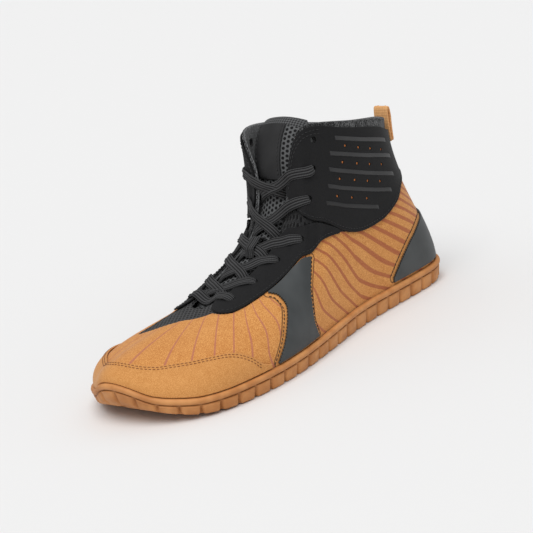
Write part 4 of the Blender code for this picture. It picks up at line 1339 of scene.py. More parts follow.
@dataclass
class Overlay:
    """A layer sewn on the upper between two v curves along a run of ribs."""

    last: Last
    table: tuple
    columns: int
    rows: int
    roll: float = 0.4
    seam_lift: float = 0.1

    def __post_init__(self) -> None:
        """Reads the curves of the table."""
        self.low, self.high = columns(self.table, 1, 2)

    def ribs(self, count: int, trim: float = 0.0) -> Array:
        """Returns ribs along the overlay, cut short at both ends by a share."""
        first = self.table[0][0]
        last = self.table[-1][0]
        cut = (last - first) * trim
        return np.linspace(first + cut, last - cut, count)

    def build(self, name: str, side: Side) -> Piece:
        """Returns the overlay on one side.

        Args:
            name: the piece's name.
            side: where it lies.

        Returns:
            The piece, welded.
        """
        ribs = self.ribs(self.columns)
        share = np.linspace(0, 1, self.rows)[:, None]
        v = self.low(ribs) + (self.high(ribs) - self.low(ribs)) * share
        return layer(name, self.last, np.broadcast_to(side.rib(ribs), v.shape), v, self.roll)

    def seam(self, side: Side, edge: Curve, inset: float, ribs: Array) -> Array:
        """Returns a seam's path beside one of the overlay's edges.

        Args:
            side: where the overlay lies.
            edge: the curve that the seam follows.
            inset: millimetres up from the edge, negative for down.
            ribs: ribs of the outer side along the seam.

        Returns:
            Table points.
        """
        twins = side.rib(ribs)
        v = edge(ribs) + inset / self.last.reach_v(twins, edge(ribs))
        return self.last.off(twins, v, self.last.overlay_out + self.seam_lift)


@dataclass
class SlateLayers:
    """The midfoot saddles and the heel counter, with pinked edges."""

    last: Last
    foot: float = FOOT_V
    edge_margin: float = 0.015
    saddle_columns: int = 22
    saddle_rows: int = 57
    counter_columns: int = 201
    counter_rows: int = 14
    tooth: float = 0.45
    trim: float = 2.8
    roll: float = 0.15
    tooth_root: float = 0.97
    seam_lift: float = 0.2
    seam_ends: tuple = (0.02, 0.98)
    saddle_seam_points: int = 60
    counter_seam_points: int = 300
    edge_points: int = 800
    border_points: int = 400

    def __post_init__(self) -> None:
        """Reads the curves of the tables."""
        self.panel = columns(BLACK_LINE[:15], 1)[0]
        self.rear, self.front = columns(SADDLE, 1, 2)
        self.counter = columns(HEEL_COUNTER, 1)[0]

    def saddle_v(self, ribs: Array, share: Array) -> Array:
        """Returns v at shares of a saddle's height, from the sole to the black panels."""
        return self.foot + (self.panel(ribs) - self.edge_margin - self.foot) * share

    def saddle_grid(self, side: Side) -> tuple[Array, Array]:
        """Returns the ribs and v of a saddle, with teeth along its two sides."""
        share = np.linspace(0, 1, self.saddle_rows)[:, None]
        across = np.linspace(0, 1, self.saddle_columns)[None, :]
        ribs = self.rear(share) + (self.front(share) - self.rear(share)) * across
        v = self.saddle_v(ribs, share)
        zigzag = np.where(np.arange(self.saddle_rows) % 2, 1.0, -1.0)[:, None]
        reach = self.tooth / self.last.reach_rib(side.rib(ribs), v)
        ribs = ribs + zigzag * reach * ((across == 1).astype(float) - (across == 0).astype(float))
        return side.rib(ribs), v

    def counter_edge(self, count: int, out: Array) -> tuple[Array, Array]:
        """Returns ribs and v along the counter's upper edge.

        Args:
            count: how many places, evenly spread over the edge's length.
            out: millimetres away from the counter, square to its edge.

        Returns:
            The ribs, from the inner to the outer side, and v.
        """
        reach = HEEL_COUNTER[-1][0]
        dense = np.linspace(-reach, reach, self.edge_points)
        length = run_length(self.last.off(dense, self.counter(np.abs(dense))))
        ribs = np.interp(np.linspace(0, length[-1], count), length, dense)
        v = self.counter(np.abs(ribs))
        rib_mm = self.last.reach_rib(ribs, v)
        v_mm = self.last.reach_v(ribs, v)
        run = unit(np.stack([np.gradient(ribs) * rib_mm, np.gradient(v) * v_mm], axis=1))
        return ribs - run[:, 1] * out / rib_mm, v + run[:, 0] * out / v_mm

    def counter_grid(self) -> tuple[Array, Array]:
        """Returns the ribs and v of the heel counter, with teeth along its upper edge."""
        zigzag = np.where(np.arange(self.counter_columns) % 2, 1.0, -1.0)
        edge_ribs, edge = self.counter_edge(self.counter_columns, zigzag * self.tooth)
        ribs, inner = self.counter_edge(self.counter_columns, np.zeros(self.counter_columns))
        share = np.linspace(0, 1, self.counter_rows - 1)[:, None]
        v = np.vstack([self.foot + (inner - self.foot) * share * self.tooth_root, edge])
        return np.vstack([np.broadcast_to(ribs, (self.counter_rows - 1, len(ribs))), edge_ribs]), v

    def borders(self) -> Array:
        """Returns points along the edges that the trim runs beside."""
        found = []
        for side in Side:
            ribs, v = self.saddle_grid(side)
            found += [self.last.off(ribs[:, k], v[:, k]) for k in (0, -1)]
        found.append(self.last.off(*self.counter_edge(self.border_points, np.zeros(self.border_points))))
        return np.concatenate(found)

    def seams(self) -> dict[str, Array]:
        """Returns the paths of the stitches that hold the trim, by name."""
        paths = {}
        share = np.linspace(*self.seam_ends, self.saddle_seam_points)
        for side in Side:
            for name, edge, way in (("rear", self.rear, -1.0), ("front", self.front, 1.0)):
                ribs = edge(share)
                v = self.saddle_v(ribs, share)
                ribs = ribs + way * self.trim / self.last.reach_rib(side.rib(ribs), v)
                paths["saddle_" + side.value + "_" + name] = self.last.off(side.rib(ribs), v, self.seam_lift)
        count = self.counter_seam_points
        ribs, v = self.counter_edge(count, np.full(count, self.trim))
        paths["heel_counter"] = self.last.off(ribs, v, self.seam_lift)
        return paths

    def make(self) -> None:
        """Builds and dresses the layers and their stitches."""
        for side in Side:
            ribs, v = self.saddle_grid(side)
            self.lay("saddle_" + side.value, ribs, v)
        self.lay("heel_counter", *self.counter_grid())
        for name, path in self.seams().items():
            DARK_STITCH.sew("stitch_" + name, path)

    def lay(self, node: str, ribs: Array, v: Array) -> None:
        """Builds and dresses one layer."""
        dress(layer(node + "_layer", self.last, ribs, v, self.roll), SLATE, node)


@dataclass
class UpperShell:
    """The hollow upper: suede, mesh wedge, knit collar and lining in one wall."""

    last: Last
    slate: SlateLayers
    columns_per_rib: int = 16
    outer_rows: int = 46
    roll_rows: int = 7
    inner_rows: int = 18
    roll_rise: float = 0.6
    lining_turn: float = 0.6
    below_edge: float = 0.985
    mesh_depth: float = 0.5
    mesh_slope: float = 1.2
    # how much the fan lines lean low down at the heel and at midfoot, over which ribs, and high up
    fan_low: tuple = (1.1, 0.5)
    fan_ribs: tuple = (1.0, 8.0)
    fan_high: float = 1.6
    fan_heights: tuple = (0.15, 0.62)
    # the knit's last rib, its overlap under the ankle panel, and how sharply knit and black begin
    knit_end: float = 7.2
    knit_overlap: float = 0.02
    knit_sharpness: float = 100.0
    black_sharpness: float = 80.0
    # row of the black line where its outer side ends and the inner side mirrors it
    mirrored_from: int = 12
    block: int = 2000

    def __post_init__(self) -> None:
        """Reads the black line all round, its rear mirrored on the inner side."""
        mirrored = tuple((RIB_COUNT - rib, v) for rib, v in BLACK_LINE[self.mirrored_from :: -1])
        self.line = columns(BLACK_LINE + mirrored, 1)[0]

    def fan(self, twin: Array, v: Array) -> tuple[Array, Array]:
        """Returns the number of the fan line at each place and the lines' half width.

        Args:
            twin: ribs of the outer side.
            v: heights on them.

        Returns:
            The running number, whole on a line, and half the width as a share of the spacing.
        """
        number, lean, half = columns(FAN, 1, 2, 3)
        heel, midfoot = self.fan_low
        low = heel + (midfoot - heel) * smooth_step(twin, *self.fan_ribs)
        rise = (v - FAN_MIDDLE_V) * (low + (self.fan_high - low) * smooth_step(v, *self.fan_heights))
        base = np.clip(twin - lean(twin) * rise, 0, TOE_RIB)
        return number(base), half(base)

    def wall_rows(self, ribs: Array) -> tuple[Array, Array, Array]:
        """Returns the closed wall, up its outer face, over its edge and down its inner face.

        Args:
            ribs: ribs of the columns.

        Returns:
            The points, their v, and 1 where they are lining.
        """
        last = self.last
        place, normal = last.feather(ribs)
        skirt = np.column_stack([place, last.floor(place[:, 0])])
        inner_skirt = np.column_stack([place - normal * last.wall_thickness, last.floor(place[:, 0])])
        rows = [(skirt, 0.0, 0.0)]
        for v in np.linspace(0, 1, self.outer_rows):
            black = (v - self.line(ribs)) * last.reach_v(ribs, v)
            sunk = self.mesh_depth * smooth_step(black, 0.0, self.mesh_slope)
            rows.append((last.off(ribs, v, -sunk), v, 0.0))
        wall = last.wall(ribs, 1.0)[:, None]
        ones = np.ones_like(ribs)
        out = last.normal(ribs, ones)
        up = unit(last.bare(ribs, ones) - last.bare(ribs, ones * self.below_edge))
        middle = last.off(ribs, 1.0, -wall[:, 0] / 2)
        for turn in np.linspace(0, np.pi, self.roll_rows + 2)[1:-1]:
            rolled = out * wall / 2 * np.cos(turn) + up * wall / 2 * np.sin(turn) * self.roll_rise
            rows.append((middle + rolled, 1.0, float(turn > np.pi * self.lining_turn)))
        for v in np.linspace(1, 0, self.inner_rows):
            rows.append((last.off(ribs, v, -last.wall(ribs, v)), v, 1.0))
        rows += [(inner_skirt, 0.0, 1.0), (skirt, 0.0, 1.0)]
        points, heights, lined = zip(*rows)
        shape = (len(rows), len(ribs))
        spread = [np.broadcast_to(np.array(values)[:, None], shape) for values in (heights, lined)]
        return np.stack(points), spread[0], spread[1]

    def build(self) -> Piece:
        """Returns the upper as one closed wall with the values that its finish reads."""
        ribs = np.linspace(0, RIB_COUNT, RIB_COUNT * self.columns_per_rib + 1)
        points, v, lined = self.wall_rows(ribs)
        twin = np.broadcast_to(np.minimum(ribs, RIB_COUNT - ribs), v.shape)
        number, half = self.fan(twin, v)
        collar = columns(ANKLE_PANEL, 2)[0](twin) - self.knit_overlap
        behind = np.where(twin < self.knit_end, 1.0, -1.0)
        piece = loft("lasted_upper", points)
        give(piece, "fan", number)
        give(piece, "fan_half", half)
        give(piece, "black", (v - self.line(np.broadcast_to(ribs, v.shape))) * self.black_sharpness)
        give(piece, "knit", np.minimum((v - collar) * self.knit_sharpness, behind))
        give(piece, "lined", lined)
        give(piece, "trim", self.trim_distance(points))
        return weld(piece, 60.0)

    def trim_distance(self, points: Array) -> Array:
        """Returns how far each place is from the slate layers' edges."""
        borders = self.slate.borders()
        flat = points.reshape(-1, 3)
        nearest = np.empty(len(flat))
        for start in range(0, len(flat), self.block):
            part = slice(start, start + self.block)
            nearest[part] = np.linalg.norm(flat[part, None] - borders[None], axis=2).min(axis=1)
        return nearest.reshape(points.shape[:2])


@dataclass
class Holes:
    """The punched eyelets, and the small perforations of the ankle panels."""

    last: Last
    radius: float = 2.1
    length: float = 12.0
    sides: int = 24
    pin_radius: float = 1.05
    pin_length: float = 5.0
    pin_sides: int = 10
    wall_margin: float = 0.15
    # what the upper's finish reads in an eyelet's wall: black mesh, with fan 20 for its painted shade
    wall_values: tuple = (("black", 1.0), ("knit", -1.0), ("lined", 0.0), ("fan", 20.0))

    def pin(self, rib: float, v: float, radius: float, length: float, sides: int) -> Piece:
        """Returns one pin square to the surface."""
        middle = Vector(to_frame(self.last.off([rib], [v]))[0])
        out = Vector(to_frame(self.last.off([rib], [v], 1.0))[0]) - middle
        turn = out.to_track_quat("Z", "Y").to_euler()
        start_fresh()
        bpy.ops.mesh.primitive_cylinder_add(
            vertices=sides, radius=radius * MM, depth=length * MM, location=middle, rotation=turn
        )
        return bpy.context.active_object

    def pins(self, name: str, places: Places, radius: float, length: float, sides: int) -> Piece:
        """Returns pins at ribs and v as one piece."""
        return join(name, [self.pin(rib, v, radius, length, sides) for rib, v in places])

    def eyelets(self) -> Places:
        """Returns rib and v of the eyelets on both sides."""
        return [(float(side.rib(rib)), v) for side in Side for _, rib, v in EYELETS]

    def shade_eyelet_walls(self, upper: Piece) -> None:
        """Turns the walls of the upper's eyelets to the black mesh in its painted shade."""
        flat = np.empty(len(upper.data.vertices) * 3)
        upper.data.vertices.foreach_get("co", flat)
        points = flat.reshape(-1, 3)
        inside = np.zeros(len(points), bool)
        for rib, v in self.eyelets():
            middle, tip = to_frame(self.last.off([rib] * 2, [v] * 2, [0.0, 1.0]))
            out = unit(tip - middle)
            away = points - middle
            along = away @ out
            radial = np.linalg.norm(away - along[:, None] * out, axis=1)
            near = radial < (self.radius + self.wall_margin) * MM
            inside |= (np.abs(along) < self.length * MM / 2) & near
        for name, dark in self.wall_values:
            values = np.empty(len(points))
            upper.data.attributes[name].data.foreach_get("value", values)
            upper.data.attributes[name].data.foreach_set("value", np.where(inside, dark, values))

    def cut(self, piece: Piece, cutter: Piece) -> None:
        """Cuts a piece by the pins."""
        finish_with(piece, "BOOLEAN", operation="DIFFERENCE", object=cutter, solver="EXACT")


@dataclass
class Panels:
    """The black eyestays and ankle panels, the toe cap, and what is sewn and pressed into them."""

    last: Last
    holes: Holes
    bar_height: float = 0.45
    bar_width: float = 2.7
    bar_columns: int = 40
    bar_fades: tuple = (0.0, 0.15, 0.3, 0.45, 0.8)
    # front rib and v, rear rib and v of the pressed bars
    bars: tuple = (
        (3.85, 0.914, 1.95, 0.871), (4.09, 0.834, 1.92, 0.774), (4.26, 0.754, 2.08, 0.667),
        (4.46, 0.676, 2.37, 0.583), (4.72, 0.603, 2.97, 0.513),
    )
    # front rib and v, rear rib and v, count of the rows of perforations
    perforations: tuple = (
        (3.61, 0.868, 2.32, 0.820, 4), (3.79, 0.782, 2.48, 0.736, 4),
        (3.96, 0.700, 2.69, 0.646, 4), (4.20, 0.619, 3.27, 0.574, 3),
    )
    bar_rows: int = 9
    bar_sunk: float = 0.3
    bar_roll: float = 0.1
    bar_end: float = 3.0
    plug_sunk: float = 0.45
    plug_margin: float = 0.35
    # millimetres from the edges of the seams, ribs of the front ones, share left out at the others' ends
    ankle_inset: float = 1.8
    eyestay_inset: float = 1.6
    front_insets: tuple = (-2.0, -4.2)
    front_ribs: tuple = (4.35, 6.55)
    toe_insets: tuple = (-1.0, -2.6)
    seam_trim: float = 0.06
    toe_trim: float = 0.05

    def __post_init__(self) -> None:
        """Makes the overlays."""
        self.ankle = Overlay(self.last, ANKLE_PANEL, 110, 34)
        self.eyestay = Overlay(self.last, EYESTAY, 90, 14)
        self.toe = Overlay(self.last, tuple((rib, FOOT_V, v) for rib, v in TOE_CAP), 150, 16)

    def hole_places(self, side: Side) -> Places:
        """Returns rib and v of one side's perforations."""
        places = []
        for rib, v, last_rib, last_v, count in self.perforations:
            ribs = side.rib(np.linspace(rib, last_rib, count))
            places += [(float(rib), v) for rib, v in zip(ribs, np.linspace(v, last_v, count))]
        return places

    def bar(self, front: float, v: float, rear: float, rear_v: float, side: Side) -> Piece:
        """Returns one pressed bar as a low strip with squared ends."""
        ribs = np.linspace(rear, front, self.bar_columns)
        middle = np.linspace(rear_v, v, self.bar_columns)
        share = np.linspace(-1, 1, self.bar_rows)[:, None]
        to_end = 1 - np.abs(np.linspace(-1, 1, self.bar_columns))
        ends = np.clip(to_end * self.bar_columns / self.bar_end, 0, 1)[None, :]
        twins = np.broadcast_to(side.rib(ribs), (self.bar_rows, self.bar_columns))
        spread = self.bar_width / 2 / self.last.reach_v(twins, np.broadcast_to(middle, twins.shape))
        heights = middle + share * spread
        lift = self.bar_height * np.clip(1 - share**4, 0, 1) * np.sqrt(ends)
        outer = self.last.off(twins, heights, self.last.overlay_out + lift)
        inner = self.last.off(twins, heights, self.last.overlay_out - self.bar_sunk)
        return shell("bar", outer, inner, self.bar_roll)

    def make(self, upper: Piece) -> None:
        """Builds, punches and dresses the panels, and punches the upper behind them."""
        holes = self.holes
        pins = holes.pins("eyelet_pins", holes.eyelets(), holes.radius, holes.length, holes.sides)
        holes.cut(upper, pins)
        holes.shade_eyelet_walls(upper)
        for side in Side:
            ankle = self.ankle.build("ankle_panel_" + side.value + "_skin", side)
            places = self.hole_places(side)
            small = holes.pins("small_pins", places, holes.pin_radius, holes.pin_length, holes.pin_sides)
            holes.cut(ankle, small)
            bpy.data.objects.remove(small, do_unlink=True)
            eyestay = self.eyestay.build("eyestay_" + side.value + "_skin", side)
            for piece in (ankle, eyestay):
                holes.cut(piece, pins)
                pick(piece)
                bpy.ops.object.shade_smooth_by_angle(angle=math.radians(SMOOTH_DEG))
            dress(ankle, MICROFIBRE, "ankle_panel_" + side.value)
            dress(eyestay, MICROFIBRE, "eyestay_" + side.value)
            bars = [self.bar(*row, side) for row in self.bars]
            for bar, fade in zip(bars, self.bar_fades):
                give(bar, "fade", np.full(len(bar.data.vertices), fade))
            dress(join("pressed_bars_" + side.value, bars), SATIN)
            dress(self.plugs(side), ORANGE)
            self.sew(side)
        bpy.data.objects.remove(pins, do_unlink=True)
        dress(self.toe.build("toe_cap_skin", Side.LATERAL), NUBUCK, "toe_cap")
        for inset in self.toe_insets:
            path = self.toe.seam(Side.LATERAL, self.toe.high, inset, self.toe.ribs(260, self.toe_trim))
            BROWN_STITCH.sew("stitch_toe_cap_%d" % (abs(inset) * 10), path)

    def plugs(self, side: Side) -> Piece:
        """Returns the bright lining that shows in the perforations."""
        depth = 2 * (self.last.overlay_out - self.plug_sunk)
        radius = self.holes.pin_radius - self.plug_margin
        name = "perforation_lining_" + side.value
        return weld(self.holes.pins(name, self.hole_places(side), radius, depth, self.holes.pin_sides))

    def sew(self, side: Side) -> None:
        """Sews the panels' edges on one side."""
        low = (("ankle", self.ankle, self.ankle_inset), ("eyestay", self.eyestay, self.eyestay_inset))
        for name, panel, inset in low:
            path = panel.seam(side, panel.low, inset, panel.ribs(120, self.seam_trim))
            BLACK_STITCH.sew("stitch_%s_low_%s" % (name, side.value), path)
        for inset in self.front_insets:
            path = self.ankle.seam(side, self.ankle.high, inset, np.linspace(*self.front_ribs, 70))
            BLACK_STITCH.sew("stitch_ankle_front_%s_%d" % (side.value, abs(inset) * 10), path)


@dataclass
class TongueFace:
    """The tongue's outer face, by share of its length from the top and distance across."""

    share_step: float = 0.01

    def __post_init__(self) -> None:
        """Reads the table by length."""
        rows = np.array([row[1:] for row in TONGUE], float)
        lengths = run_length(rows[:, :2])
        self.length = float(lengths[-1])
        self.curves = [monotone(lengths / self.length, rows[:, k]) for k in range(rows.shape[1])]

    def row(self, share: float) -> list[float]:
        """Returns s, z, y of the middle, half width, edge drop and thickness at a share of the length."""
        return [float(curve(share)) for curve in self.curves]

    def up(self, share: float) -> Array:
        """Returns the outward direction at the middle of the tongue."""
        ahead = self.row(min(share + self.share_step, 1.0))
        behind = self.row(max(share - self.share_step, 0.0))
        run = unit(np.array([ahead[0] - behind[0], 0.0, ahead[1] - behind[1]]))
        return np.array([-run[2], 0.0, run[0]])

    def out(self, share: float, across: float) -> Array:
        """Returns the outward direction of the face."""
        _, _, _, half_width, drop, _ = self.row(share)
        return unit(self.up(share) + np.array([0.0, 2 * drop * across / half_width**2, 0.0]))

    def point(self, share: float, across: float, lift: float) -> Array:
        """Returns a point across from the middle and lifted over the face, in millimetres."""
        s, z, middle, half_width, drop, _ = self.row(share)
        fall = drop * (across / half_width) ** 2
        return np.array([s, middle + across, z]) - self.up(share) * fall + self.out(share, across) * lift

    def share_at(self, place: Array) -> float:
        """Returns the share of the length nearest to a place."""
        shares = np.linspace(0, 1, 400)
        middles = np.array([self.row(share)[:2] for share in shares])
        return float(shares[np.argmin(np.linalg.norm(middles - place[[0, 2]], axis=1))])


@dataclass
class PaddedTongue:
    """The padded mesh tongue with its rolled top and plain patch."""

    face: TongueFace
    rows: int = 90
    half_columns: int = 24
    roll_share: float = 0.045
    patch_shares: tuple = (0.05, 0.27)
    patch_half_width: float = 10.5
    patch_middle: float = 4.5
    patch_thickness: float = 0.9
    patch_rows: int = 26
    patch_columns: int = 20
    patch_roll: float = 0.4
    seam_inset: float = 1.5
    seam_lift: float = 0.1
    clearance: float = 0.4
    # how squarely the pad ends at top and base, and at its sides
    end_power: int = 40
    side_power: int = 5

    def make(self) -> None:
        """Builds and dresses the tongue, its patch and the patch's stitches."""
        self.pad()
        self.patch()

    def pad(self) -> None:
        """Builds and dresses the padded tongue."""
        across = np.cos(np.linspace(0, np.pi, self.half_columns))
        loop = [(a, 1.0) for a in across] + [(a, -1.0) for a in across[::-1][1:]]
        points = []
        rolled = []
        u = []
        v = []
        for share in np.linspace(0, 1, self.rows):
            _, _, _, half_width, _, thickness = self.face.row(share)
            end = math.sqrt(max(0.0, 1 - abs(2 * share - 1) ** self.end_power))
            ring = []
            for a, face in loop:
                swell = math.sqrt(max(0.0, 1 - abs(a) ** self.side_power)) * end
                ring.append(self.face.point(share, a * half_width, thickness / 2 * (face * swell - 1)))
                u.append(a * half_width)
                v.append(share * self.face.length)
                rolled.append(float(share < self.roll_share or face < 0))
            points.append(ring)
        piece = loft("padded_tongue", np.array(points))
        give(piece, "rolled", rolled)
        lay_uv(piece, np.array(u), np.array(v))
        dress(weld(piece, 70.0), MESH, "tongue")

    def patch(self) -> None:
        """Builds and dresses the plain patch."""
        shares = np.linspace(*self.patch_shares, self.patch_rows)
        half = self.patch_half_width
        line = self.patch_middle + np.linspace(-half, half, self.patch_columns)
        lift = self.clearance + self.patch_thickness
        outer, inner = (
            np.array([[self.face.point(share, a, height) for a in line] for share in shares])
            for height in (lift, self.clearance)
        )
        dress(shell("tongue_patch_skin", outer, inner, self.patch_roll), PATCH, "tongue_patch")
        for name, way in (("left", -1.0), ("right", 1.0)):
            a = self.patch_middle + way * (half - self.seam_inset)
            path = np.array([self.face.point(share, a, lift + self.seam_lift) for share in shares[1:-1]])
            BLACK_STITCH.sew("stitch_patch_" + name, path)


@dataclass
class Lacing:
    """The flat ribbed lace, its keeper on the tongue and the pull loop at the heel."""

    last: Last
    face: TongueFace
    width: float = 6.4
    thickness: float = 1.6
    lift: float = 2.4
    over: float = 1.3
    on_tongue: float = 1.6
    bar_forward: float = 0.012
    samples: int = 64
    ring: int = 30
    ribs_across: int = 4
    rib_height: float = 0.2
    hole_depth: float = 3.0
    loop_width: float = 11.0
    loop_thickness: float = 1.4
    loop_foot: float = 0.84
    loop_rise: float = 6.5
    loop_spread: float = 1.0
    leg_gap: float = 0.5
    top_row: int = 6
    # ribs and v of the flaps that the lace lies on
    edge_from: float = 5.0
    flap_ribs: tuple = (4.2, 11.6)
    flap_heights: tuple = (0.6, 1.0)
    # share of the way from eyelet to edge, share of the lace's width, of a run over a flap
    flap_run_rows: tuple = ((0.0, 0.6), (0.0, 0.75), (0.3, 1.0), (0.65, 1.0), (1.0, 1.0))
    hole_lift: float = 0.8
    # shares of the way across the tongue, where among them it tucks under the flap, and how deep
    bridge: tuple = (0.3, 0.5, 0.75, 0.95, 1.12)
    tuck: tuple = (0.65, 1.0)
    tuck_depth: float = 1.2
    # how square the lace's section is at its sides and on its faces, and its ends
    side_power: float = 0.55
    face_power: float = 0.7
    end_power: int = 60
    # the keeper: eyelet rows that it sits between, reach as a share of the tongue, and its section
    keeper_rows: tuple = (4, 3)
    keeper_reach: float = 0.055
    keeper_foot: float = 0.9
    keeper_arch: float = 5.0
    keeper_width: float = 6.4
    keeper_thickness: float = 1.1
    keeper_points: int = 9

    def __post_init__(self) -> None:
        """Samples the throat's edge and the flaps."""
        self.edge_ribs = np.linspace(self.edge_from, TOE_RIB, 400)
        ribs, heights = np.meshgrid(np.linspace(*self.flap_ribs, 300), np.linspace(*self.flap_heights, 90))
        self.places = np.stack([ribs.ravel(), heights.ravel()], axis=1)
        self.flaps = {side: self.last.off(side.rib(self.places[:, 0]), self.places[:, 1]) for side in Side}

    def eyelet(self, number: int, side: Side) -> Array:
        """Returns the place of an eyelet."""
        _, rib, v = EYELETS[number - 1]
        return self.last.off([float(side.rib(rib))], [v])[0]

    def edge_rib(self, start: Array, end: Array, side: Side) -> float:
        """Returns the rib of the outer side at which a straight lace crosses this side's edge."""
        edge = self.last.off(side.rib(self.edge_ribs), 1.0)
        along = (edge - start) @ (end - start) / ((end - start) @ (end - start))
        nearest = start + np.clip(along, 0.0, 1.0)[:, None] * (end - start)
        return float(self.edge_ribs[np.argmin(np.linalg.norm(edge - nearest, axis=1))])

    def edge_place(self, number: int, side: Side) -> Array:
        """Returns the point of the throat's edge nearest to an eyelet."""
        place = self.eyelet(number, side)
        edge = self.last.off(side.rib(self.edge_ribs), 1.0)
        return edge[np.argmin(np.linalg.norm(edge - place, axis=1))]

    def flap_run(self, number: int, side: Side, end: Array) -> tuple[list, list, list]:
        """Returns the lace's path, up directions and widths from inside its eyelet to the edge.

        Args:
            number, side: the eyelet.
            end: the place that the lace runs to.

        Returns:
            Points, directions square to the lace's face, and shares of its width.
        """
        start = self.eyelet(number, side)
        leaves = self.edge_rib(start, end, side)
        edge = self.last.off([float(side.rib(leaves))], [1.0])[0]
        lifts = np.array([-self.hole_depth, self.hole_lift, self.lift, self.lift, self.lift])
        ways, widths = np.array(self.flap_run_rows).T
        run = start + (edge - start) * ways[:, None]
        nearest = [np.argmin(np.linalg.norm(self.flaps[side] - place, axis=1)) for place in run]
        ribs = side.rib(self.places[nearest, 0])
        heights = self.places[nearest, 1]
        path = self.last.off(ribs, heights, lifts)
        ups = self.last.normal(ribs, heights)
        toward = unit(path[-1] - path[1])
        ups[0] = unit(ups[0] * 0.2 - toward)
        ups[1] = unit(ups[1] * 0.6 - toward * 0.8)
        return list(path), list(ups), list(widths)

    def ribbon(
        self, name: str, path: Array, ups: Array, widths: Array, width: float, thickness: float
    ) -> Piece:
        """Makes a flat ribbed ribbon along a path.

        Args:
            name: the piece's name.
            path: points that its middle passes.
            ups: directions square to its face.
            widths: shares of the full width along it.
            width, thickness: its full section.

        Returns:
            The piece, welded, with UV in millimetres.
        """
        line = smooth_path(np.asarray(path, float), self.samples)
        up = unit(smooth_path(np.asarray(ups, float), self.samples))
        knots = run_length(np.asarray(path, float))
        share = np.interp(np.linspace(0, knots[-1], self.samples), knots, widths)
        run = unit(np.gradient(line, axis=0))
        across = unit(np.cross(run, up))
        lift = np.cross(across, run)
        turn = np.linspace(0, 2 * np.pi, self.ring + 1)
        a = np.sign(np.cos(turn)) * np.abs(np.cos(turn)) ** self.side_power
        b = np.sign(np.sin(turn)) * np.abs(np.sin(turn)) ** self.face_power
        ridges = 1 + self.rib_height * 2 / thickness * np.cos(a * np.pi * self.ribs_across)
        to_end = np.abs(np.linspace(-1, 1, self.samples))
        ends = np.sqrt(np.clip(1 - to_end**self.end_power, 0, 1))
        side = across[:, None] * (a[None, :, None] * (width / 2 * share * ends)[:, None, None])
        rise = lift[:, None] * ((b * ridges)[None, :, None] * (thickness / 2 * ends)[:, None, None])
        piece = loft(name, line[:, None] + side + rise)
        lay_uv(piece, np.repeat(run_length(line), self.ring + 1), np.tile(a * width / 2, self.samples))
        return weld(piece, 70.0)

    def bar(self, number: int) -> Piece:
        """Returns the straight bar between the two eyelets of the lowest row."""
        near, near_up, near_width = self.flap_run(number, Side.LATERAL, self.eyelet(number, Side.MEDIAL))
        far, far_up, far_width = self.flap_run(number, Side.MEDIAL, self.eyelet(number, Side.LATERAL))
        share = self.face.share_at(self.eyelet(number, Side.LATERAL)) + self.bar_forward
        path = near + [self.face.point(share, 0.0, self.on_tongue)] + far[::-1]
        ups = near_up + [self.face.up(share)] + far_up[::-1]
        widths = near_width + [1.0] + far_width[::-1]
        return self.ribbon("lace_bar", path, ups, widths, self.width, self.thickness)

    def strand(self, number: int, side: Side, over: float) -> Piece:
        """Returns a strand from an eyelet straight across the tongue to under the other flap."""
        end = self.edge_place(number - 1, side.other)
        path, ups, widths = self.flap_run(number, side, end)
        start = path[-1]
        for way in self.bridge:
            place = start + (end - start) * way
            share = self.face.share_at(place)
            across = place[1] - self.face.row(share)[2]
            out = self.face.out(share, across)
            height = max(float((place - self.face.point(share, across, 0.0)) @ out), self.on_tongue)
            tucked = float(smooth_step(way, *self.tuck))
            arch = over * (1 - (2 * way - 1) ** 2)
            height += (self.on_tongue - self.tuck_depth - height) * tucked + arch * (1 - tucked)
            path.append(self.face.point(share, across, height))
            ups.append(out)
            widths.append(1.0)
        return self.ribbon("lace_strand", path, ups, widths, self.width, self.thickness)

    def keeper(self) -> Piece:
        """Returns the strap on the tongue that arches over the lace."""
        ends = [self.face.share_at(self.edge_place(n, Side.LATERAL)) for n in self.keeper_rows]
        path = []
        ups = []
        for turn in np.linspace(-1, 1, self.keeper_points):
            share = sum(ends) / 2 + turn * self.keeper_reach
            arch = self.keeper_arch * (1 - float(smooth_step(abs(turn), 0.5, 1.0)))
            path.append(self.face.point(share, 0.0, self.keeper_foot + arch))
            ups.append(self.face.up(share))
        widths = [1.0] * self.keeper_points
        return self.ribbon("lace_keeper_strap", path, ups, widths, self.keeper_width, self.keeper_thickness)

    def pull_loop(self) -> Piece:
        """Returns the folded webbing loop on the back of the collar, with both legs outside."""
        inside = self.last.overlay_out + self.last.clearance + self.loop_thickness / 2
        outside = inside + self.loop_thickness + self.leg_gap
        heights = np.linspace(self.loop_foot, 1.0, 5)
        spread = np.linspace(0, self.loop_spread, len(heights))
        rise = [self.last.off([0.0], [v], outside + extra)[0] for v, extra in zip(heights, spread)]
        fall = [self.last.off([0.0], [v], inside)[0] for v in heights[::-1]]
        middle = (rise[-1] + fall[0]) / 2
        reach = (fall[0] - rise[-1]) / 2
        arch = []
        for turn in np.linspace(np.pi, 0, 9)[1:-1]:
            arch.append(middle + reach * np.cos(turn) + np.array([0, 0, self.loop_rise * np.sin(turn)]))
        path = np.array(rise + arch + fall)
        ups = np.cross(np.array([0.0, 1.0, 0.0]), np.gradient(path, axis=0))
        widths = [1.0] * len(path)
        return self.ribbon("heel_pull_loop", path, ups, widths, self.loop_width, self.loop_thickness)

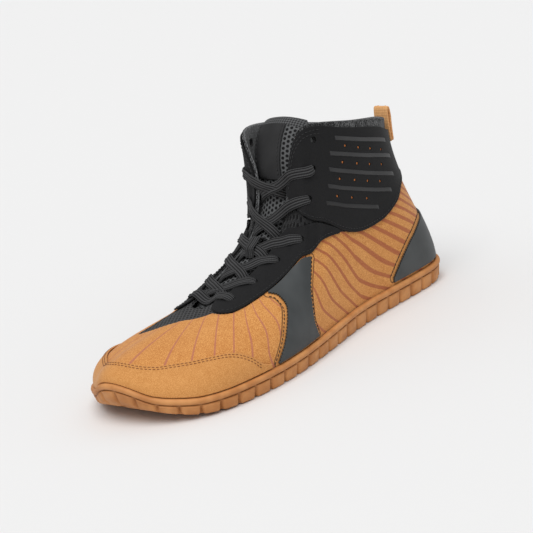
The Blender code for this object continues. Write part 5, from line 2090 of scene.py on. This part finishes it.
    def make(self) -> None:
        """Builds and dresses the lace, the keeper and the loop."""
        dress(self.bar(1), LACE, "lace_bar_1")
        for number in range(2, self.top_row + 1):
            under = self.strand(number, Side.LATERAL, 0.0)
            over = self.strand(number, Side.MEDIAL, self.over)
            dress(join("lace_rows_%d" % number, [under, over]), LACE, "lace_crossing_%d" % number)
        dress(self.keeper(), LACE, "lace_keeper")
        dress(self.pull_loop(), WEBBING, "pull_loop")


@dataclass
class Studio:
    """The pale floor, the soft light and the camera at the photograph's angle."""

    azimuth: float = -47.44
    elevation: float = 15.80
    roll: float = -9.27
    distance: float = 1.2
    aim: tuple = (-0.00395, -0.00117, 0.04931)
    focal_pixels: float = 2013.0
    image_pixels: float = 533.0
    sensor: float = 36.0
    floor_size: float = 14.0
    floor_shade: float = 0.79
    floor_roughness: float = 0.9
    light_distance: float = 3.0
    # azimuth, elevation, spread in degrees and strength of the large soft key
    key: tuple = (-60.0, 62.0, 50.0, 2.05)
    surround: float = 0.55

    def toward(self, azimuth: float, elevation: float) -> Vector:
        """Returns the direction from the shoe to a place round it."""
        turn = math.radians(azimuth)
        rise = math.radians(elevation)
        return Vector((math.sin(turn) * math.cos(rise), -math.cos(turn) * math.cos(rise), math.sin(rise)))

    def make(self) -> None:
        """Adds floor, light, surround and camera."""
        self.floor()
        azimuth, elevation, spread, strength = self.key
        back = self.toward(azimuth, elevation)
        start_fresh()
        turned = back.to_track_quat("Z", "Y").to_euler()
        bpy.ops.object.light_add(type="SUN", location=back * self.light_distance, rotation=turned)
        light = bpy.context.active_object
        light.name = "light_key"
        light.data.angle = math.radians(spread)
        light.data.energy = strength
        world = bpy.context.scene.world or bpy.data.worlds.new("studio")
        bpy.context.scene.world = world
        world.use_nodes = True
        background = world.node_tree.nodes["Background"]
        background.inputs["Color"].default_value = (1.0, 1.0, 1.0, 1.0)
        background.inputs["Strength"].default_value = self.surround
        bpy.context.scene.view_settings.view_transform = "Standard"
        self.camera()

    def floor(self) -> None:
        """Adds the plain pale floor."""
        start_fresh()
        bpy.ops.mesh.primitive_plane_add(size=self.floor_size, location=(0, 0, 0))
        floor = bpy.context.active_object
        floor.name = "studio_floor"
        material = bpy.data.materials.new("look_floor")
        material.use_nodes = True
        shader = material.node_tree.nodes["Principled BSDF"]
        shader.inputs["Base Color"].default_value = (*[self.floor_shade] * 3, 1.0)
        shader.inputs["Roughness"].default_value = self.floor_roughness
        floor.data.materials.append(material)

    def camera(self) -> None:
        """Adds the camera."""
        back = self.toward(self.azimuth, self.elevation)
        level = Vector((0, 0, 1)).cross(back).normalized()
        above = back.cross(level)
        turn = math.radians(self.roll)
        right = level * math.cos(turn) + above * math.sin(turn)
        up = above * math.cos(turn) - level * math.sin(turn)
        place = Vector(self.aim) + back * self.distance
        start_fresh()
        bpy.ops.object.camera_add()
        camera = bpy.context.active_object
        camera.name = "photo_camera"
        camera.data.sensor_width = self.sensor
        camera.data.lens = self.focal_pixels / self.image_pixels * self.sensor
        turned = Matrix((right, up, back)).transposed().to_4x4()
        camera.matrix_world = Matrix.Translation(place) @ turned
        bpy.context.scene.camera = camera


def main() -> None:
    """Builds the shoe's pieces in order, and the studio round them."""
    logging.basicConfig(level=logging.INFO, format="%(name)s %(message)s")
    last = Last()
    face = TongueFace()
    slate = SlateLayers(last)
    CupSole(last).make()
    Footbed(last).make()
    upper = UpperShell(last, slate).build()
    Panels(last, Holes(last)).make(upper)
    dress(upper, SUEDE, "upper")
    slate.make()
    PaddedTongue(face).make()
    Lacing(last, face).make()
    Studio().make()


if __name__ == "__main__":
    main()
